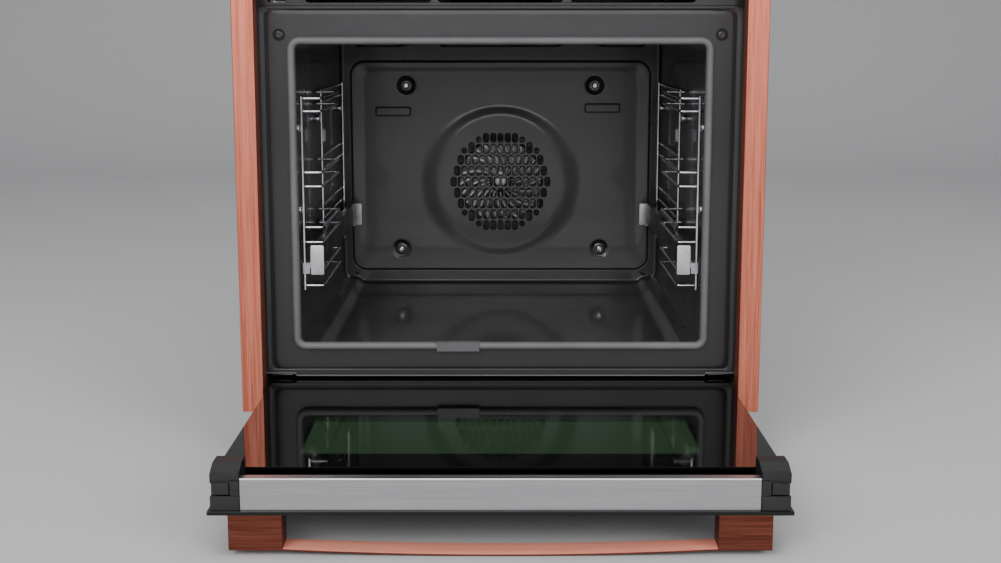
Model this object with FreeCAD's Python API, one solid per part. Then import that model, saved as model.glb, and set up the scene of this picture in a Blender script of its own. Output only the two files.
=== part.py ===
import FreeCAD, Part
import math
import os
from FreeCAD import Vector

# Built-in wall oven with a door that slides under the cavity.
# Millimetres. X to the right, Y into the cabinet, Z up.
# The origin is on the niche base, in the plane of the cabinet's front edge, mid-width.

# ---- overall sizes -------------------------------------------------------------
BODY_WIDTH = 558.6         # over the steel casing
BODY_DEPTH = 526.0         # cabinet front plane to the rear cover
FRONT_OVERLAP = 18.7       # side trims stand out past the casing by this much
FACE_Y = -22.0             # front plane of trims, control glass and closed door
BASE_LIP = 6.0             # base plate ahead of the cabinet's front edge
SHEET = 1.0                # casing and cavity sheet
REAR_ROOM = 26.0           # free space ahead of the rear cover

# ---- cavity --------------------------------------------------------------------
CAVITY_W = 480.0
CAVITY_H = 372.0
CAVITY_Z0 = 65.0
CAVITY_BACK = 435.0        # front face of the cavity's back wall
POCKET_D = 34.0            # fan chamber behind the back wall
BAFFLE_SIDE = 14.8         # back wall left beside the baffle
BAFFLE_LOW = 20.3          # back wall left below the baffle
BAFFLE_HIGH = 34.3         # back wall left above the baffle
BAFFLE_R = 20.0
BAFFLE_T = 1.0
BAFFLE_GAP = 0.8
BAFFLE_SET = 2.0           # baffle's front face ahead of the back wall
DOME_R = 120.0
DOME_IN_R = 103.0
DOME_H = 6.0
FAN_UP = 156.0             # fan axis above the cavity floor
SCREW_R = 2.0
SCREW_HEAD_R = 3.5
SCREW_HEAD_H = 3.0
WASHER_R = 9.0
WASHER_T = 1.2
BOSS_R = 6.0
SCREW_SPOTS = ((142.3, 145.7), (151.5, -103.7))     # from the fan axis
SLOT_H = 14.0
SLOT_W = 53.0
SLOT_SPOTS = ((-162.0, 107.0), (153.5, 112.0))      # from the fan axis
GRID_PITCH_X = 10.9
GRID_PITCH_Z = 16.5
GRID_ROWS = (7, 11, 12, 13, 14, 13, 12, 11, 7)
HOLE_W = 7.9
HOLE_H = 14.8

# ---- front frame and gasket ----------------------------------------------------
FRAME_Y = 20.0             # front plane of the enamelled frame
FRAME_T = 1.5
FRAME_Z0 = 42.0
FRAME_HEAD = 40.0          # frame above the cavity's ceiling
NOTCH_W = 36.7             # hinge notches in the frame's lower corners
NOTCH_H = 3.0
OPEN_LIP = 2.0             # frame edge stands inside the cavity walls by this much
SILL = 16.0                # frame edge above the cavity floor
GASKET_W = 8.8
GASKET_T = 7.0
GASKET_OVER = 3.0          # gasket's inner edge inside the frame opening
GASKET_R = 6.0             # inner corner radius
SLEEVE_X0 = -75.0
SLEEVE_L = 50.0
SLEEVE_T = 0.8
PLUG_IN = 25.3             # plug screws inside the casing wall
PLUG_DZ = 33.0             # plug screws below the frame's top edge
PLUG_R = 5.9

# ---- fan, heaters, lamp --------------------------------------------------------
FIT = 0.05                 # running fit on radius
FAN_R = 62.0
FAN_BLADES = 12
FAN_SHAFT_R = 4.0
RING_R = 86.0
RING_LEAD_X = 14.0
RING_LEAD_DROP = 1.2        # the leads leave this far below the ring's top
TUBE_R = 3.25
GRILL_DROP = 4.4           # grill tube's centre below the ceiling
TERMINAL_X = 20.0
LEAD_HOLE = 0.4            # play round a heater's lead
LEAD_END = 22.0            # leads end ahead of the casing's rear
MOTOR_R = 32.0
MOTOR_L = 40.0
LAMP_IN = 40.0             # lamp centre from the cavity's left wall
LAMP_Y = 350.0
LAMP_R = 20.0
PROBE_R = 2.5

# ---- side racks and telescopic rails ---------------------------------------------
RACK_OFF = 8.2             # rack posts from the cavity wall
RACK_SHELF = 30.0          # shelf wires from the cavity wall
RACK_END = 4.0             # wire ends from the cavity wall
RACK_POST_R = 2.0
RACK_WIRE_R = 1.6
RACK_FRONT_Y = 33.0
RACK_MID_Y = 182.0
RACK_REAR = 50.0           # last post ahead of the back wall
RACK_LOW = 79.0            # posts' lower ends above the floor
RACK_H = 229.0
RACK_LEVELS = ((83.4, 102.2), (135.6, 153.4), (202.0, 218.6), (290.4, 305.5))   # above the floor
RAIL_UP = 105.0            # rail above the floor
RAIL_H = 20.0
RAIL_OFF = 16.0            # rail web from the cavity wall
RAIL_T = 1.2
RAIL_Y0 = 36.0
RAIL_REAR = 27.0           # rail end ahead of the back wall
RAIL_GAP = 0.5
RAIL_MID_W = 5.5
RAIL_INNER_W = 6.5

# ---- door (level, pushed part of the way under the cavity) -----------------------
DOOR_GAP = 0.8             # door glass to its guide channels
DOOR_L = 462.0
DOOR_Y0 = -294.0           # front edge at rest
DOOR_Z0 = 5.0
GLASS_T = 4.0
GLASS_EDGE = 3.0           # outer glass stands out past the door frame
DOOR_FRAME_H = 27.5
INNER_GLASS_T = 3.0
DOOR_HEAD = 32.0           # from the front edge to the inner glass
CAP_W = 27.5
STRIP_T = 1.5
CAP_TOP = 51.0
CAP_FRONT_TOP = 44.6
HANDLE_IN = 18.1           # handle's ends inside the glass edge
HANDLE_BLOCK_W = 50.4
HANDLE_SET = 5.0           # handle's front face behind the door's front edge
HANDLE_D = 22.0
HANDLE_DROP = 36.2         # from the outer glass to the ends' lower face
HANDLE_BOW = 5.4
BAR_END_T = 2.7
BAR_MID_T = 4.0
ROLLER_R = 6.9
ROLLER_W = 4.0
AXLE_R = 2.5
PIVOT_R = 3.0
SLOT_CLEAR = 0.1
CARRIAGE_L = 100.0
CARRIAGE_LAP = 18.0        # carriage overlaps the door's rear end by this much
DOOR_RAIL_DEPTH = 6.0
DOOR_AXIS_Z = 20.0         # roller centre
BAY_TOP = 46.0

# ---- trims, control panel, cooling -------------------------------------------------
TRIM_GAP = 1.5             # door glass to trim
TRIM_Z0 = 12.0
TRIM_T = 1.5
MOUNT_HOLE_R = 2.25
MOUNT_OUT = 9.2            # fixing holes outside the casing wall
MOUNT_LOW = 60.0
MOUNT_HIGH = 55.0          # upper fixing holes below the top
VENT_STRIP_H = 20.0
CONTROL_H = 98.0
CONTROL_GLASS_T = 4.0
CONTROL_GAP = 1.5
TOP_STEP = 5.0             # casing top below the front's top
BOARD_Y = -4.0             # front face of the control board
BOARD_T = 1.6
KNOB_R = 22.0
KNOB_X = 150.0
KNOB_H = 18.0
KNOB_SHAFT_R = 3.0
BUTTON_X = -150.0
BUTTON_R = 7.0
BUTTON_TRAVEL = 1.5
SWITCH_Y = -10.0
VENT_UP = 3.5
VENT_H = 10.5
VENT_IN = 56.3
LATCH_IN = 12.3
LATCH_W = 23.0
DUCT_IN = 52.3
DUCT_Y1 = 300.0
BLOWER_Y = 375.0
BLOWER_R = 55.0
BLOWER_UP = 43.0
BLOWER_BLADES = 20
INLET_R = 11.0             # supply cable's hole in the rear cover
INLET_X = 220.0
INLET_Z = 490.0

# ---- values worked out from the above ------------------------------------------------
BODY_X = BODY_WIDTH / 2
CASE_IN = BODY_X - SHEET
FRONT_X = BODY_X + FRONT_OVERLAP
FRAME_BACK = FRAME_Y + FRAME_T
CAV_X = CAVITY_W / 2
CAV_Z1 = CAVITY_Z0 + CAVITY_H
FRAME_TOP = CAV_Z1 + FRAME_HEAD
CONTROL_Z0 = FRAME_TOP + VENT_STRIP_H
FRONT_TOP = CONTROL_Z0 + CONTROL_H
CONTROL_Z = CONTROL_Z0 + CONTROL_H / 2
BODY_TOP = FRONT_TOP - TOP_STEP
CASE_Z1 = BODY_TOP - SHEET
OPEN_X = CAV_X - OPEN_LIP
OPEN_Z0 = CAVITY_Z0 + SILL
OPEN_Z1 = CAV_Z1 - 1.0
GASKET_X = OPEN_X - GASKET_OVER
GASKET_IN_Z0 = OPEN_Z0 + GASKET_OVER
GASKET_IN_Z1 = OPEN_Z1 - GASKET_OVER
PLUG_X = CASE_IN - PLUG_IN
PLUG_Z = FRAME_TOP - PLUG_DZ
BACK_OUT = CAVITY_BACK + SHEET
POCKET_BACK = CAVITY_BACK + POCKET_D
POCKET_OUT = POCKET_BACK + SHEET
POCKET_X = CAV_X - BAFFLE_SIDE + BAFFLE_GAP
POCKET_Z0 = CAVITY_Z0 + BAFFLE_LOW - BAFFLE_GAP
POCKET_Z1 = CAV_Z1 - BAFFLE_HIGH + BAFFLE_GAP
BAFFLE_Y = CAVITY_BACK - BAFFLE_SET
FAN_Z = CAVITY_Z0 + FAN_UP
RING_LEAD_Z = FAN_Z + RING_R - RING_LEAD_DROP
PROBE_X = SLOT_SPOTS[1][0] + SLOT_W / 2 + 3.0
PROBE_Z = FAN_Z + SLOT_SPOTS[1][1]
GRILL_Z = CAV_Z1 - GRILL_DROP
BOTTOM_Z = CAVITY_Z0 - SHEET - TUBE_R - 0.45
LEADS_Y = BODY_DEPTH - LEAD_END
MOTOR_Y0 = POCKET_OUT + 4.0
BLANKET_TOP = CAV_Z1 + 18.0
BLANKET_BACK = BODY_DEPTH - REAR_ROOM
LAMP_X = -(CAV_X - LAMP_IN)
RACK_X = CAV_X - RACK_OFF
RACK_IN_X = CAV_X - RACK_SHELF
RACK_YS = (RACK_FRONT_Y, RACK_MID_Y, CAVITY_BACK - RACK_REAR)
RACK_ZS = [CAVITY_Z0 + z for level in RACK_LEVELS for z in level]
RACK_TOUCH = RACK_POST_R + RACK_WIRE_R
RAIL_WEB_X = CAV_X - RAIL_OFF
RAIL_Z0 = CAVITY_Z0 + RAIL_UP
RAIL_Y1 = CAVITY_BACK - RAIL_REAR
RAIL_FRONT = RACK_FRONT_Y - RACK_POST_R
DOOR_X = CASE_IN - DOOR_RAIL_DEPTH - DOOR_GAP
TRIM_IN = DOOR_X + TRIM_GAP
DOOR_Y1 = DOOR_Y0 + DOOR_L
FRAME_X = DOOR_X - GLASS_EDGE
STRIP_HALF = FRAME_X - CAP_W
DOOR_FZ0 = DOOR_Z0 + GLASS_T
DOOR_FZ1 = DOOR_FZ0 + DOOR_FRAME_H
DOOR_INNER_Y0 = DOOR_Y0 + DOOR_HEAD
HANDLE_OUT_X = DOOR_X - HANDLE_IN
HANDLE_IN_X = HANDLE_OUT_X - HANDLE_BLOCK_W
HANDLE_Y = DOOR_Y0 + HANDLE_SET
ROLLER_Y = DOOR_Y1 - CARRIAGE_LAP + CARRIAGE_L - 15
VENT_Z0 = FRAME_TOP + VENT_UP
VENT_Z1 = VENT_Z0 + VENT_H
VENT_X = CASE_IN - VENT_IN
VENT_SPANS = ((-VENT_X, -79.0), (-71.0, 71.0), (80.0, VENT_X))
LATCH_X0 = LATCH_IN - CASE_IN
LATCH_X1 = LATCH_X0 + LATCH_W
LATCH_Z = (VENT_Z0 + VENT_Z1) / 2
DUCT_X = CASE_IN - DUCT_IN
DUCT_Z0 = FRAME_TOP + 0.5
DUCT_Z1 = CONTROL_Z0 - 2.0
BLOWER_TOP = CONTROL_Z0 + BLOWER_UP


def box(x0, x1, y0, y1, z0, z1):
    """Axis-aligned block between the given planes."""
    return Part.makeBox(x1 - x0, y1 - y0, z1 - z0, Vector(x0, y0, z0))


def rod_y(r, x, z, y0, y1):
    """Cylinder along Y."""
    return Part.makeCylinder(r, y1 - y0, Vector(x, y0, z), Vector(0, 1, 0))


def rod_x(r, y, z, x0, x1):
    """Cylinder along X."""
    return Part.makeCylinder(r, x1 - x0, Vector(x0, y, z), Vector(1, 0, 0))


def rod_z(r, x, y, z0, z1):
    """Cylinder along Z."""
    return Part.makeCylinder(r, z1 - z0, Vector(x, y, z0), Vector(0, 0, 1))


def rounded_block(x0, x1, z0, z1, r, y0, y1):
    """Block along Y whose four long edges have radius r."""
    core = box(x0, x1, y0, y1, z0, z1)
    edges = [e for e in core.Edges if abs(e.Vertexes[0].Y - e.Vertexes[1].Y) > 1e-6]
    return core.makeFillet(r, edges)


def mirrored(shape):
    """Copy of a right-hand piece for the left-hand side."""
    return shape.mirror(Vector(0, 0, 0), Vector(1, 0, 0))


def fused(shapes):
    """One solid from touching shapes."""
    return shapes[0].multiFuse(shapes[1:]).removeSplitter()


def bent_tube(points, radius, bend):
    """Round tube along straight runs joined by tangent arcs of one radius."""
    pts = [Vector(*p) for p in points]
    edges = []
    last = pts[0]
    for before, corner, after in zip(pts, pts[1:], pts[2:]):
        u = (before - corner).normalize()
        v = (after - corner).normalize()
        half = u.getAngle(v) / 2
        cut = bend / math.tan(half)
        a = corner + u * cut
        b = corner + v * cut
        mid = corner + (u + v).normalize() * (bend / math.sin(half) - bend)
        edges.append(Part.makeLine(last, a))
        edges.append(Part.Arc(a, mid, b).toShape())
        last = b
    edges.append(Part.makeLine(last, pts[-1]))
    path = Part.Wire(edges)
    start = pts[1] - pts[0]
    ring = Part.Wire(Part.makeCircle(radius, pts[0], start))
    return path.makePipeShell([ring], True, False)


def save(name, shapes):
    """Write one node, a solid or a group of solids."""
    parts = shapes if isinstance(shapes, list) else [shapes]
    solids = [s for shape in parts for s in shape.Solids]
    for s in solids:
        if not s.isValid():
            print("INVALID", name)
    result = solids[0] if len(solids) == 1 else Part.makeCompound(solids)
    result.exportStep("parts/%s.step" % name)
    print("%-22s solids %2d  volume %10.0f" % (name, len(solids), result.Volume))


# ---- casing ----------------------------------------------------------------------
def base_plate():
    return box(-BODY_X, BODY_X, -BASE_LIP, BODY_DEPTH, 0, SHEET)


def side_panel():
    wall = box(CASE_IN, BODY_X, 0, BODY_DEPTH, SHEET, CASE_Z1)
    flange = box(CASE_IN, FRONT_X - 1, -SHEET, 0, TRIM_Z0, CASE_Z1)
    holes = [rod_y(MOUNT_HOLE_R, BODY_X + MOUNT_OUT, z, -SHEET - 1, 1) for z in (MOUNT_LOW, FRONT_TOP - MOUNT_HIGH)]
    return fused([wall, flange]).cut(holes)


def top_cover():
    return box(-BODY_X, BODY_X, 0, BODY_DEPTH, CASE_Z1, BODY_TOP)


def rear_cover():
    sheet = box(-CASE_IN, CASE_IN, BODY_DEPTH - SHEET, BODY_DEPTH, SHEET, CASE_Z1)
    inlet = rod_y(INLET_R, INLET_X, INLET_Z, BODY_DEPTH - 3, BODY_DEPTH + 1)
    vents = [rounded_block(x, x + 60, z, z + 5, 2.4, BODY_DEPTH - 3, BODY_DEPTH + 1)
             for x in (-110, -30, 50) for z in (500, 512, 524)]
    return sheet.cut([inlet] + vents)


def bay_ceiling():
    return box(-CASE_IN, CASE_IN, FRAME_BACK, BODY_DEPTH - SHEET, BAY_TOP, BAY_TOP + SHEET)


def insulation_blanket():
    side = CASE_IN - 10.3
    end = BLANKET_BACK + 2
    outer = box(-side, side, FRAME_BACK + 1, BLANKET_BACK, BAY_TOP + SHEET + 0.3, BLANKET_TOP)
    room = box(-CAV_X - 2, CAV_X + 2, FRAME_BACK, BACK_OUT + 1, BAY_TOP + 8, CAV_Z1 + 2)
    pocket = box(-POCKET_X - 3, POCKET_X + 3, BACK_OUT, POCKET_BACK + 3, POCKET_Z0 - 3, POCKET_Z1 + 3)
    motor = rod_y(MOTOR_R + 6, 0, FAN_Z, POCKET_BACK, end)
    lamp = rod_z(LAMP_R + 10, LAMP_X, LAMP_Y, CAV_Z1, BLANKET_TOP + 1)
    spots = [(s * TERMINAL_X, z) for s in (-1, 1) for z in (GRILL_Z, BOTTOM_Z)]
    spots += [(s * RING_LEAD_X, RING_LEAD_Z) for s in (-1, 1)] + [(PROBE_X, PROBE_Z)]
    leads = [rod_y(TUBE_R + 2, x, z, BACK_OUT, end) for x, z in spots]
    return outer.cut([room, pocket, motor, lamp] + leads)


# ---- front frame, gasket, vents --------------------------------------------------------
def front_frame():
    sheet = box(-CASE_IN, CASE_IN, FRAME_Y, FRAME_BACK, FRAME_Z0, FRAME_TOP)
    hole = rounded_block(-OPEN_X, OPEN_X, OPEN_Z0, OPEN_Z1, GASKET_R + GASKET_OVER, FRAME_Y - 1, FRAME_BACK + 1)
    notch = box(CASE_IN - NOTCH_W, CASE_IN + 1, FRAME_Y - 1, FRAME_BACK + 1, FRAME_Z0 - 1, FRAME_Z0 + NOTCH_H)
    screws = [rod_y(SCREW_R + FIT, s * PLUG_X, PLUG_Z, FRAME_Y - 1, FRAME_BACK + 1) for s in (-1, 1)]
    return sheet.cut([hole, notch, mirrored(notch)] + screws)


def gasket_ring(grow, y0, y1):
    """Ring over the frame's edge; grow widens it for the sleeve."""
    r_in = GASKET_R
    x = GASKET_X + GASKET_W + grow
    outer = rounded_block(-x, x, GASKET_IN_Z0 - GASKET_W - grow, GASKET_IN_Z1 + GASKET_W + grow,
                          r_in + GASKET_W, y0, y1)
    xi = GASKET_X - grow
    inner = rounded_block(-xi, xi, GASKET_IN_Z0 + grow, GASKET_IN_Z1 - grow, r_in, y0 - 1, y1 + 1)
    return outer.cut(inner)


def door_gasket():
    return gasket_ring(0, FRAME_Y - GASKET_T, FRAME_Y)


def gasket_sleeve():
    block = box(SLEEVE_X0, SLEEVE_X0 + SLEEVE_L, FRAME_Y - GASKET_T - SLEEVE_T, FRAME_Y,
                GASKET_IN_Z0 - GASKET_W - SLEEVE_T, GASKET_IN_Z0 + SLEEVE_T)
    return block.cut(door_gasket())


def frame_screws():
    out = []
    for s in (-1, 1):
        head = rod_y(PLUG_R, s * PLUG_X, PLUG_Z, FRAME_Y - 1.4, FRAME_Y)
        shank = rod_y(SCREW_R, s * PLUG_X, PLUG_Z, FRAME_Y, FRAME_BACK + 0.7)
        out.append(fused([head, shank]))
    return out


def vent_panel():
    sheet = box(-CASE_IN, CASE_IN, FRAME_Y, FRAME_BACK, FRAME_TOP, CONTROL_Z0)
    spans = list(VENT_SPANS) + [(LATCH_X0, LATCH_X1)]
    slots = [rounded_block(a, b, VENT_Z0, VENT_Z1, 4.0, FRAME_Y - 1, FRAME_BACK + 1) for a, b in spans]
    return sheet.cut(slots)


# ---- cavity ----------------------------------------------------------------------------
def screw_spots():
    return [(s * x, FAN_Z + dz) for x, dz in SCREW_SPOTS for s in (-1, 1)]


def cavity_shell():
    outer = box(-CAV_X - SHEET, CAV_X + SHEET, FRAME_BACK, BACK_OUT, CAVITY_Z0 - SHEET, CAV_Z1 + SHEET)
    inner = box(-CAV_X, CAV_X, FRAME_BACK - 1, CAVITY_BACK, CAVITY_Z0, CAV_Z1)
    pocket = rounded_block(-POCKET_X - SHEET, POCKET_X + SHEET, POCKET_Z0 - SHEET, POCKET_Z1 + SHEET,
                           BAFFLE_R + SHEET, BACK_OUT - SHEET / 2, POCKET_OUT)
    well = rounded_block(-POCKET_X, POCKET_X, POCKET_Z0, POCKET_Z1, BAFFLE_R, CAVITY_BACK - 1, POCKET_BACK)
    bosses = [rod_y(BOSS_R, x, z, BAFFLE_Y + BAFFLE_T, POCKET_BACK) for x, z in screw_spots()]
    bores = [rod_y(SCREW_R + FIT, x, z, BAFFLE_Y, BAFFLE_Y + 16) for x, z in screw_spots()]
    shaft = rod_y(FAN_SHAFT_R + 2, 0, FAN_Z, POCKET_BACK - 1, POCKET_BACK + 2)
    play = TUBE_R + LEAD_HOLE
    leads = [rod_y(play, s * RING_LEAD_X, RING_LEAD_Z, POCKET_BACK - 1, POCKET_BACK + 2) for s in (-1, 1)]
    leads += [rod_y(play, s * TERMINAL_X, GRILL_Z, CAVITY_BACK - 1, BACK_OUT + 1) for s in (-1, 1)]
    leads.append(rod_y(PROBE_R + LEAD_HOLE, PROBE_X, PROBE_Z, POCKET_BACK - 1, POCKET_BACK + 2))
    lamp = rod_z(LAMP_R, LAMP_X, LAMP_Y, CAV_Z1 - 1, CAV_Z1 + 2)
    shell = outer.fuse(pocket).cut([inner, well])
    return shell.multiFuse(bosses).cut(bores + [shaft, lamp] + leads)


def obround_z(x, z, w, h, y0, y1):
    """Upright slot with round ends."""
    return rounded_block(x - w / 2, x + w / 2, z - h / 2, z + h / 2, w / 2 - 0.05, y0, y1)


def grid_holes(y0, y1):
    """Fan intake: nine staggered rows of upright slots inside a circle."""
    out = []
    rows = len(GRID_ROWS)
    for i, count in enumerate(GRID_ROWS):
        z = FAN_Z + ((rows - 1) / 2 - i) * GRID_PITCH_Z
        for j in range(count):
            x = (j - (count - 1) / 2) * GRID_PITCH_X
            at_end = j in (0, count - 1) and i in (0, 1, rows - 2, rows - 1)
            if at_end:
                inward = -1.5 if i in (0, 1) else 1.5
                out.append(rod_y(HOLE_W / 2, x, z + inward, y0, y1))
            else:
                out.append(obround_z(x, z, HOLE_W, HOLE_H, y0, y1))
    return out


def baffle_panel():
    y0 = BAFFLE_Y
    y1 = BAFFLE_Y + BAFFLE_T
    x = POCKET_X - BAFFLE_GAP
    sheet = rounded_block(-x, x, POCKET_Z0 + BAFFLE_GAP, POCKET_Z1 - BAFFLE_GAP, BAFFLE_R, y0, y1)
    sheet = sheet.cut(rod_y(DOME_R, 0, FAN_Z, y0 - 1, y1 + 1))
    lean = BAFFLE_T * (DOME_R - DOME_IN_R) / DOME_H
    outline = [(0, y0 - DOME_H), (DOME_IN_R, y0 - DOME_H), (DOME_R, y0), (DOME_R, y1),
               (DOME_IN_R - lean / 2, y1 - DOME_H), (0, y1 - DOME_H)]
    points = [Vector(r, y, FAN_Z) for r, y in outline]
    face = Part.Face(Part.makePolygon(points + points[:1]))
    dome = face.revolve(Vector(0, 0, FAN_Z), Vector(0, 1, 0), 360)
    holes = grid_holes(y0 - DOME_H - 2, y1 + 2)
    holes += [rod_y(SCREW_R + FIT, x, z, y0 - 1, y1 + 1) for x, z in screw_spots()]
    for x, dz in SLOT_SPOTS:
        low = FAN_Z + dz - SLOT_H / 2
        holes.append(rounded_block(x - SLOT_W / 2, x + SLOT_W / 2, low, low + SLOT_H, 3.0, y0 - 1, y1 + 1))
    return sheet.fuse(dome).cut(holes)


def baffle_screws():
    out = []
    for x, z in screw_spots():
        washer = rod_y(WASHER_R, x, z, BAFFLE_Y - WASHER_T, BAFFLE_Y)
        out.append(washer.cut(rod_y(SCREW_R + FIT, x, z, BAFFLE_Y - WASHER_T - 1, BAFFLE_Y + 1)))
        head_y = BAFFLE_Y - WASHER_T
        head = rod_y(SCREW_HEAD_R, x, z, head_y - SCREW_HEAD_H, head_y)
        out.append(head.fuse(rod_y(SCREW_R, x, z, head_y, BAFFLE_Y + 14)))
    return out


def ring_heater():
    y = CAVITY_BACK + 15
    ring = Part.makeTorus(RING_R, TUBE_R, Vector(0, y, FAN_Z), Vector(0, 1, 0))
    leads = [rod_y(TUBE_R, s * RING_LEAD_X, RING_LEAD_Z, y, LEADS_Y) for s in (-1, 1)]
    return ring.multiFuse(leads)


def fan_impeller():
    front = CAVITY_BACK + 4
    back = CAVITY_BACK + 26
    disc = rod_y(FAN_R, 0, FAN_Z, back, back + 1)
    ring = rod_y(FAN_R, 0, FAN_Z, front, front + 1).cut(rod_y(FAN_R - 8, 0, FAN_Z, front - 1, front + 2))
    hub = rod_y(9.0, 0, FAN_Z, back - 10, back + 4)
    shaft = rod_y(FAN_SHAFT_R, 0, FAN_Z, back - 16, MOTOR_Y0 + 30)
    blades = []
    for k in range(FAN_BLADES):
        blade = box(FAN_R - 26, FAN_R - 0.5, front + 0.5, back + 0.5, FAN_Z - 0.5, FAN_Z + 0.5)
        blade.rotate(Vector(0, 0, FAN_Z), Vector(0, 1, 0), 360.0 * k / FAN_BLADES)
        blades.append(blade)
    return fused([disc, ring, hub, shaft] + blades)


def fan_motor():
    can = rod_y(MOTOR_R, 0, FAN_Z, MOTOR_Y0, MOTOR_Y0 + MOTOR_L)
    feet = []
    for k in range(3):
        angle = math.radians(90 + 120 * k)
        feet.append(rod_y(4.0, 26 * math.cos(angle), FAN_Z + 26 * math.sin(angle), POCKET_OUT, MOTOR_Y0 + 1))
    bore = rod_y(FAN_SHAFT_R + FIT, 0, FAN_Z, MOTOR_Y0 - 1, MOTOR_Y0 + 31)
    return fused([can] + feet).cut(bore)


def serpentine(z, half, y_front, y_back, runs):
    """Flat heating loop of parallel runs whose two leads leave to the rear."""
    xs = [half - i * (half - TERMINAL_X) / runs for i in range(runs + 1)]
    right = [(TERMINAL_X, LEADS_Y, z), (TERMINAL_X, y_back + 12, z), (xs[0], y_back + 12, z)]
    ys = (y_front, y_back)
    right.append((xs[0], ys[0], z))
    for i in range(1, runs):
        right.append((xs[i], ys[(i + 1) % 2], z))
        right.append((xs[i], ys[i % 2], z))
    left = [(-x, y, zz) for x, y, zz in reversed(right)]
    return bent_tube(right + left, TUBE_R, 11.0)


def grill_element():
    half = CAV_X - 70
    tube = serpentine(GRILL_Z, half, 70, CAVITY_BACK - 65, 3)
    hangers = [box(x - 6, x + 6, y - 2, y + 2, GRILL_Z + TUBE_R + 0.05, CAV_Z1)
               for x in (-half, half) for y in (120, CAVITY_BACK - 115)]
    return [tube] + hangers


def bottom_element():
    return serpentine(BOTTOM_Z, CAV_X - 50, 90, CAVITY_BACK - 55, 3)


def lamp_housing():
    cup = rod_z(LAMP_R - 0.5, LAMP_X, LAMP_Y, CAV_Z1, CAV_Z1 + 26)
    flange = rod_z(LAMP_R + 7, LAMP_X, LAMP_Y, CAV_Z1 + SHEET, CAV_Z1 + SHEET + 1.5)
    room = rod_z(LAMP_R - 4, LAMP_X, LAMP_Y, CAV_Z1 - 1, CAV_Z1 + 22)
    return fused([cup, flange]).cut(room)


def lamp_glass():
    dome = rod_z(LAMP_R + 5, LAMP_X, LAMP_Y, CAV_Z1 - 7, CAV_Z1)
    return dome.cut(rod_z(LAMP_R - 5, LAMP_X, LAMP_Y, CAV_Z1 - 4, CAV_Z1 + 1))


def temperature_probe():
    y = CAVITY_BACK + 7
    tip = PROBE_X - SLOT_W - 4
    return bent_tube([(tip, y, PROBE_Z), (PROBE_X, y, PROBE_Z), (PROBE_X, LEADS_Y, PROBE_Z)], PROBE_R, 6.0)


# ---- racks and telescopic rails --------------------------------------------------------
def rack():
    """Three posts, shelf wires bent round the front bay and straight wires along the wall."""
    front, mid, rear = RACK_YS
    foot = CAVITY_Z0 + RACK_LOW
    solids = [rod_z(RACK_POST_R, RACK_X, y, foot, foot + RACK_H) for y in RACK_YS]
    for z in RACK_ZS:
        y0 = front + RACK_TOUCH
        y1 = mid - RACK_TOUCH
        end = CAV_X - RACK_END
        shelf = [(end, y0, z), (RACK_IN_X, y0, z), (RACK_IN_X, y1, z), (end, y1, z)]
        solids.append(bent_tube(shelf, RACK_WIRE_R, 3.0))
        solids.append(rod_y(RACK_WIRE_R, RACK_X + RACK_TOUCH, z, mid - RACK_POST_R + 1, rear + RACK_POST_R))
    back = mid + RACK_POST_R
    solids += [box(RACK_X - 5, RACK_X + 1.5, back, back + 1.2, foot + up, foot + up + 16) for up in (42, 162)]
    return Part.makeCompound(solids)


def rack_bushes():
    """Round bushes on the side walls that carry the racks."""
    face = RACK_X + RACK_POST_R + 0.1
    high = CAVITY_Z0 + 271
    spots = [(y, high) for y in RACK_YS] + [(RACK_YS[0], high - 96)]
    right = [rod_x(5.0, y, z, face, CAV_X) for y, z in spots]
    return right + [mirrored(s) for s in right]


def rail_fixed():
    z1 = RAIL_Z0 + RAIL_H
    web = box(RAIL_WEB_X, RAIL_WEB_X + RAIL_T, RAIL_Y0, RAIL_Y1, RAIL_Z0, z1)
    low = box(RAIL_WEB_X - 7, RAIL_WEB_X + 0.1, RAIL_Y0, RAIL_Y1, RAIL_Z0, RAIL_Z0 + RAIL_T)
    high = box(RAIL_WEB_X - 7, RAIL_WEB_X + 0.1, RAIL_Y0, RAIL_Y1, z1 - RAIL_T, z1)
    seat_z = RACK_ZS[1] + RACK_WIRE_R + 0.2
    seat_y = RACK_YS[1] - RACK_TOUCH
    seat = box(RAIL_WEB_X - 6, RAIL_WEB_X + RAIL_T, seat_y - 5, seat_y + 5, seat_z, RAIL_Z0 + 0.5)
    arm = box(RAIL_WEB_X, RAIL_WEB_X + 2.4, RAIL_FRONT - 2, RAIL_Y0 + 12, RAIL_Z0 + 1, RAIL_Z0 + 7)
    hook = box(RAIL_WEB_X + 1, RACK_X + 1.4, RAIL_FRONT - 2, RAIL_FRONT - 0.5, RAIL_Z0 - 6, RAIL_Z0 + 7)
    tail = box(RAIL_WEB_X - 6, RAIL_WEB_X + 3, RAIL_Y1 - 0.1, RAIL_Y1 + 1.5, RAIL_Z0 - 13, z1 - 1)
    leg = box(RAIL_WEB_X + 1, CAV_X, RAIL_Y1 - 0.1, RAIL_Y1 + 1.5, RAIL_Z0 - 4, RAIL_Z0 + 10)
    return fused([web, low, high, seat, arm, hook, tail, leg])


def rail_middle():
    low = RAIL_Z0 + RAIL_T + RAIL_GAP
    high = RAIL_Z0 + RAIL_H - RAIL_T - RAIL_GAP
    x1 = RAIL_WEB_X - RAIL_GAP
    return box(x1 - RAIL_MID_W, x1, RAIL_Y0 + 2, RAIL_Y1 - 2, low, high)


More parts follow.
